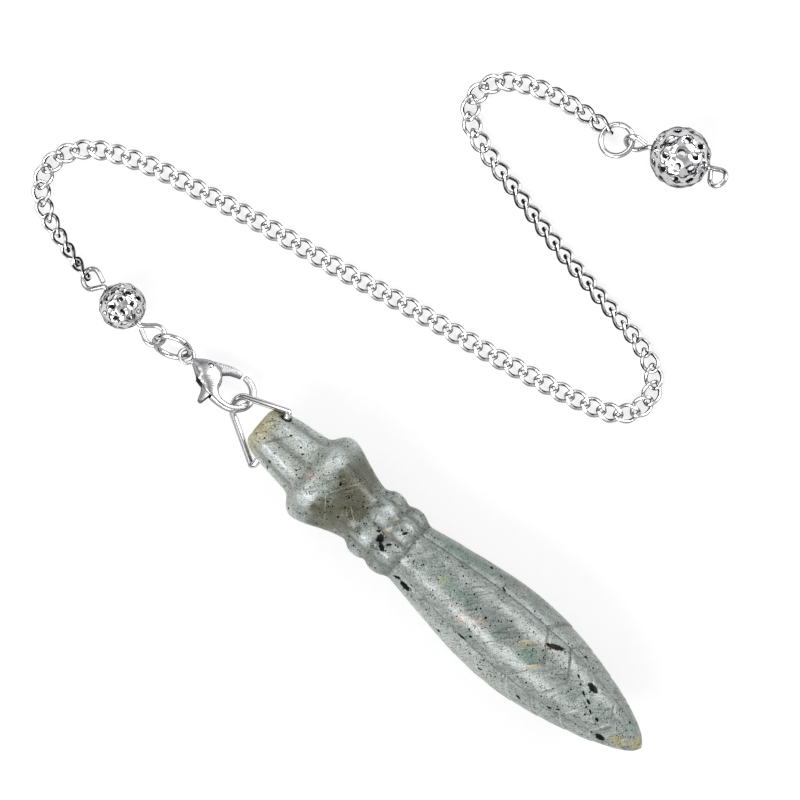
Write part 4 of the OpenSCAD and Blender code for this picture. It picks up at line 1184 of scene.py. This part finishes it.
# %% Helpers for plates and cuts
def prism(name, outline, thickness, place):
    """A flat plate of an outline in the XY plane, centred on it."""
    mesh = bpy.data.meshes.new(name)
    shape = bmesh.new()
    low = [shape.verts.new((x, y, -thickness / 2)) for x, y in outline]
    face = shape.faces.new(low)
    raised = bmesh.ops.extrude_face_region(shape, geom=[face])["geom"]
    bmesh.ops.translate(shape, vec=(0, 0, thickness),
                        verts=[g for g in raised if isinstance(g, bmesh.types.BMVert)])
    bmesh.ops.recalc_face_normals(shape, faces=shape.faces)
    shape.to_mesh(mesh)
    shape.free()
    mesh.transform(place)
    return mesh


def circle(radius, count):
    """The outline of a hole or hub."""
    turns = [2 * math.pi * k / count for k in range(count)]
    return [(radius * math.cos(t), radius * math.sin(t)) for t in turns]


def baked(source):
    """The same object with its modifiers made real."""
    mesh = real_mesh(source)
    source.modifiers.clear()
    source.data = mesh
    return source


def cut_by(target, tool, operation="DIFFERENCE"):
    """Cuts at once and removes the tool."""
    carve(target, tool, operation)
    baked(target)
    bpy.data.objects.remove(tool)


print("a circle's points:", len(circle(1, 40)))

# %% [markdown]
# ## Clasp body: slot and rivet hole
# The lever needs room to swing in the body. Its outline is swept through the swing by joining a
# few turned copies of it, a little thicker than the lever. The result is cut out of the casting.

# %% Clasp body: slot and rivet hole
LEVER_THICK, HUB_R, PIN, PIN_PLAY, LEVER_PLAY = 1, 0.9, 0.7, 0.04, 0.08
SLOT_GAP, LEVER_SWING, SLOT_PLAY, SWEEPS = 0.12, 22, 6, 6
PIVOT = (0.312 * CLASP_LENGTH, 0.22 * CLASP_HALF)
LEVER_ROWS = [(-0.02, 0.29), (0.15, 0.58), (0.25, 0.685), (0.335, 0.7), (0.345, 0.56),
              (0.3, 0.5), (0.225, 0.385), (0.155, 0.17), (0.112, -0.12), (0.235, -0.8),
              (0.225, -1.16), (0.205, -1.22), (0.165, -1.19), (0.115, -0.85), (-0.02, -0.26)]
lever_outline = [(x * CLASP_LENGTH, y * CLASP_HALF) for x, y in LEVER_ROWS] + [
    (HUB_R * math.cos(math.radians(a)), HUB_R * math.sin(math.radians(a)))
    for a in range(250, 114, -15)]

clasp = baked(clasp)
no_turn = Matrix.Identity(4)
slot_thick = LEVER_THICK + 2 * SLOT_GAP
slot = new_object("slot", prism("slot", circle(HUB_R + SLOT_GAP, 48), slot_thick, no_turn))
for k in range(SWEEPS):
    swing = math.radians(SLOT_PLAY - k / (SWEEPS - 1) * (LEVER_SWING + 2 * SLOT_PLAY))
    swept = prism("swept", lever_outline, slot_thick, Matrix.Rotation(swing, 4, "Z"))
    cut_by(slot, new_object("swept", swept), "UNION")
slot.data.transform(Matrix.Translation((*PIVOT, 0)))
cut_by(clasp, slot)
bore = prism("rivet_hole", circle(PIN / 2 + PIN_PLAY, 40), 2 * CLASP_THICK, no_turn)
bore.transform(Matrix.Translation((*PIVOT, 0)))
cut_by(clasp, new_object("rivet_hole", bore))
clasp.data.transform(CLASP_PLACE)
hand_over(clasp, "clasp_body", crease=38)

# %% [markdown]
# ## Clasp lever
# The lever is a flat casting with worn edges, so its plate gets a small bevel all round, after the
# rivet's hole is cut. It rides on its own body, because it is the one piece that a joint moves.

# %% Clasp lever
WORN_EDGE = 0.09
PIVOT_PLACE = CLASP_PLACE @ Matrix.Translation((PIVOT[0], PIVOT[1], 0))
plate = prism("lever_plate", lever_outline, LEVER_THICK, PIVOT_PLACE)
plate.materials.append(lever_finish)
lever = new_object("lever_plate", plate)
bore_mesh = prism("bore", circle(PIN / 2 + LEVER_PLAY, 40), 2 * LEVER_THICK, PIVOT_PLACE)
bore_mesh.materials.append(lever_finish)
bore = new_object("bore", bore_mesh)
carve(lever, bore)
worn = lever.modifiers.new("worn edges", "BEVEL")
worn.width, worn.segments, worn.limit_method = WORN_EDGE * MM, 3, "ANGLE"
worn.angle_limit = math.radians(50)
hand_over(lever, "clasp_lever", body="lever", crease=30)
bpy.data.objects.remove(bore)

# %% [markdown]
# ## Clasp rivet
# The rivet is turned from wire, and its two ends are hammered to shallow domes. It is a stack of
# rings, so the same skin helper makes it.

# %% Clasp rivet
half_pin = 0.88 * CLASP_THICK / 2
# Columns: share of the radius, distance from the end in mm
PIN_DOME = [(0.5, 0.01), (0.8, 0.04), (0.94, 0.08), (1.0, 0.15)]
pin_rings = [(PIN / 2 * r, -half_pin + d) for r, d in PIN_DOME]
pin_rings += [(PIN / 2 * r, half_pin - d) for r, d in PIN_DOME[::-1]]
pin_points = np.array([[(r * math.cos(t), r * math.sin(t), z)
                        for t in np.linspace(0, 2 * np.pi, 40, endpoint=False)]
                       for r, z in pin_rings])
pin_mesh = skin("pin", pin_points, tips=[(0, 0, -half_pin), (0, 0, half_pin)])
pin_mesh.transform(PIVOT_PLACE)
pin_mesh.materials.append(wire_finish)
hand_over(new_object("pin_turned", pin_mesh), "clasp_pin")

# %% [markdown]
# ## Curb chain: where the links are
# Every link is an oval of wire whose two ends are twisted out of its plane, so that the links lie
# flat in a row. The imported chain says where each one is. Its loose parts are found by walking
# along their edges, and the middle and the axes of each part are measured from its points.

# %% Curb chain: where the links are
chain = nodes["chain"]
shape = bmesh.new()
shape.from_mesh(chain.data)
bmesh.ops.remove_doubles(shape, verts=shape.verts, dist=0.001 * MM)
links, seen = [], set()
for start in shape.verts:
    if start in seen:
        continue
    seen.add(start)
    group, queue = [], [start]
    while queue:
        vert = queue.pop()
        group.append(vert.co.copy())
        for edge in vert.link_edges:
            other = edge.other_vert(vert)
            if other not in seen:
                seen.add(other)
                queue.append(other)
    links.append(np.array(group))
shape.free()
centres = np.array([points.mean(0) for points in links])
axes = []
for points, centre in zip(links, centres):
    spread = np.linalg.eigh(np.cov((points - centre).T))[1]
    axes.append((spread[:, 2], spread[:, 1]))
print("links found:", len(links), "points each:", len(links[0]))

# %% [markdown]
# ## Curb chain: one link
# One link is made with care and used for all. In the photo each link is bright on top and has thin
# dark lines at its sides, where it mirrors its neighbours. Those lines are finer than a pixel, so
# the finish makes them: it gets darker where a field named flank says that the wire turns away.

# %% Curb chain: one link
LINK_WIRE, LINK_LONG, LINK_WIDE, LINK_TWIST = 0.46, 3, 2.02, 54
FLANK_TONE, FLANK_FROM, FLANK_FULL = (42, 42, 45), 0.25, 0.6
link_path = []
for t in np.linspace(0, 2 * np.pi, 40, endpoint=False):
    phi = math.radians(LINK_TWIST) * math.cos(t)
    link_path.append((LINK_LONG / 2 * math.cos(t),
                      LINK_WIDE / 2 * math.sin(t) * math.cos(phi),
                      LINK_WIDE / 2 * math.sin(t) * math.sin(phi)))
link = bent_wire("link", link_path, LINK_WIRE, 12, chain_finish, Matrix.Scale(MM, 4), closed=True)
bpy.context.view_layer.update()

tree = chain_finish.node_tree
shader = tree.nodes["Principled BSDF"]
face_tone = shader.inputs["Base Color"].links[0].from_socket
on_flank = level(tree, field(tree, "flank"), FLANK_FROM, FLANK_FULL)
tree.links.new(blended(tree, on_flank, face_tone, linear(*FLANK_TONE)),
               shader.inputs["Base Color"])
print("points in the link's path:", len(link_path))

# %% [markdown]
# ## Curb chain: laying the links
# The places are points with two axes as attributes. The tree stores the flanks on the one link,
# turns a copy of it to the axes of each point, and makes the copies real.

# %% Curb chain: laying the links
chain_tree, given = new_tree("laid_links", [("Link", "Object"), ("Finish", "Material")])
one = add(chain_tree, "GeometryNodeObjectInfo", {"Object": given["Link"]})
facing = add(chain_tree, "ShaderNodeSeparateXYZ", {
    0: add(chain_tree, "GeometryNodeInputNormal").outputs[0]}).outputs["Z"]
flanked = add(chain_tree, "GeometryNodeStoreNamedAttribute", {
    "Geometry": one.outputs["Geometry"], "Name": "flank", "Value": maths(
        chain_tree, "SUBTRACT", 1.0, maths(chain_tree, "ABSOLUTE", facing, 0.0))},
    data_type="FLOAT", domain="POINT")
long_axis, wide_axis = (
    add(chain_tree, "GeometryNodeInputNamedAttribute", {"Name": name},
        data_type="FLOAT_VECTOR").outputs["Attribute"] for name in ("long_axis", "wide_axis"))
stand = add(chain_tree, "FunctionNodeAxesToRotation", {
    "Primary Axis": long_axis, "Secondary Axis": wide_axis}, primary_axis="X", secondary_axis="Y")
laid = add(chain_tree, "GeometryNodeInstanceOnPoints", {
    "Points": given["Shape"], "Instance": flanked.outputs[0], "Rotation": stand.outputs[0]})
close_tree(chain_tree, laid.outputs[0], given["Finish"])

mesh = bpy.data.meshes.new("chain_places")
mesh.from_pydata(centres.tolist(), [], [])
for name, rows in zip(("long_axis", "wide_axis"), zip(*axes)):
    stored = mesh.attributes.new(name, "FLOAT_VECTOR", "POINT")
    stored.data.foreach_set("vector", np.array(rows).astype(np.float32).ravel())
laid_chain = use_tree(new_object("chain_places", mesh), chain_tree, {
    "Link": link, "Finish": chain_finish})
hand_over(laid_chain, "chain", crease=60)
bpy.data.objects.remove(link)
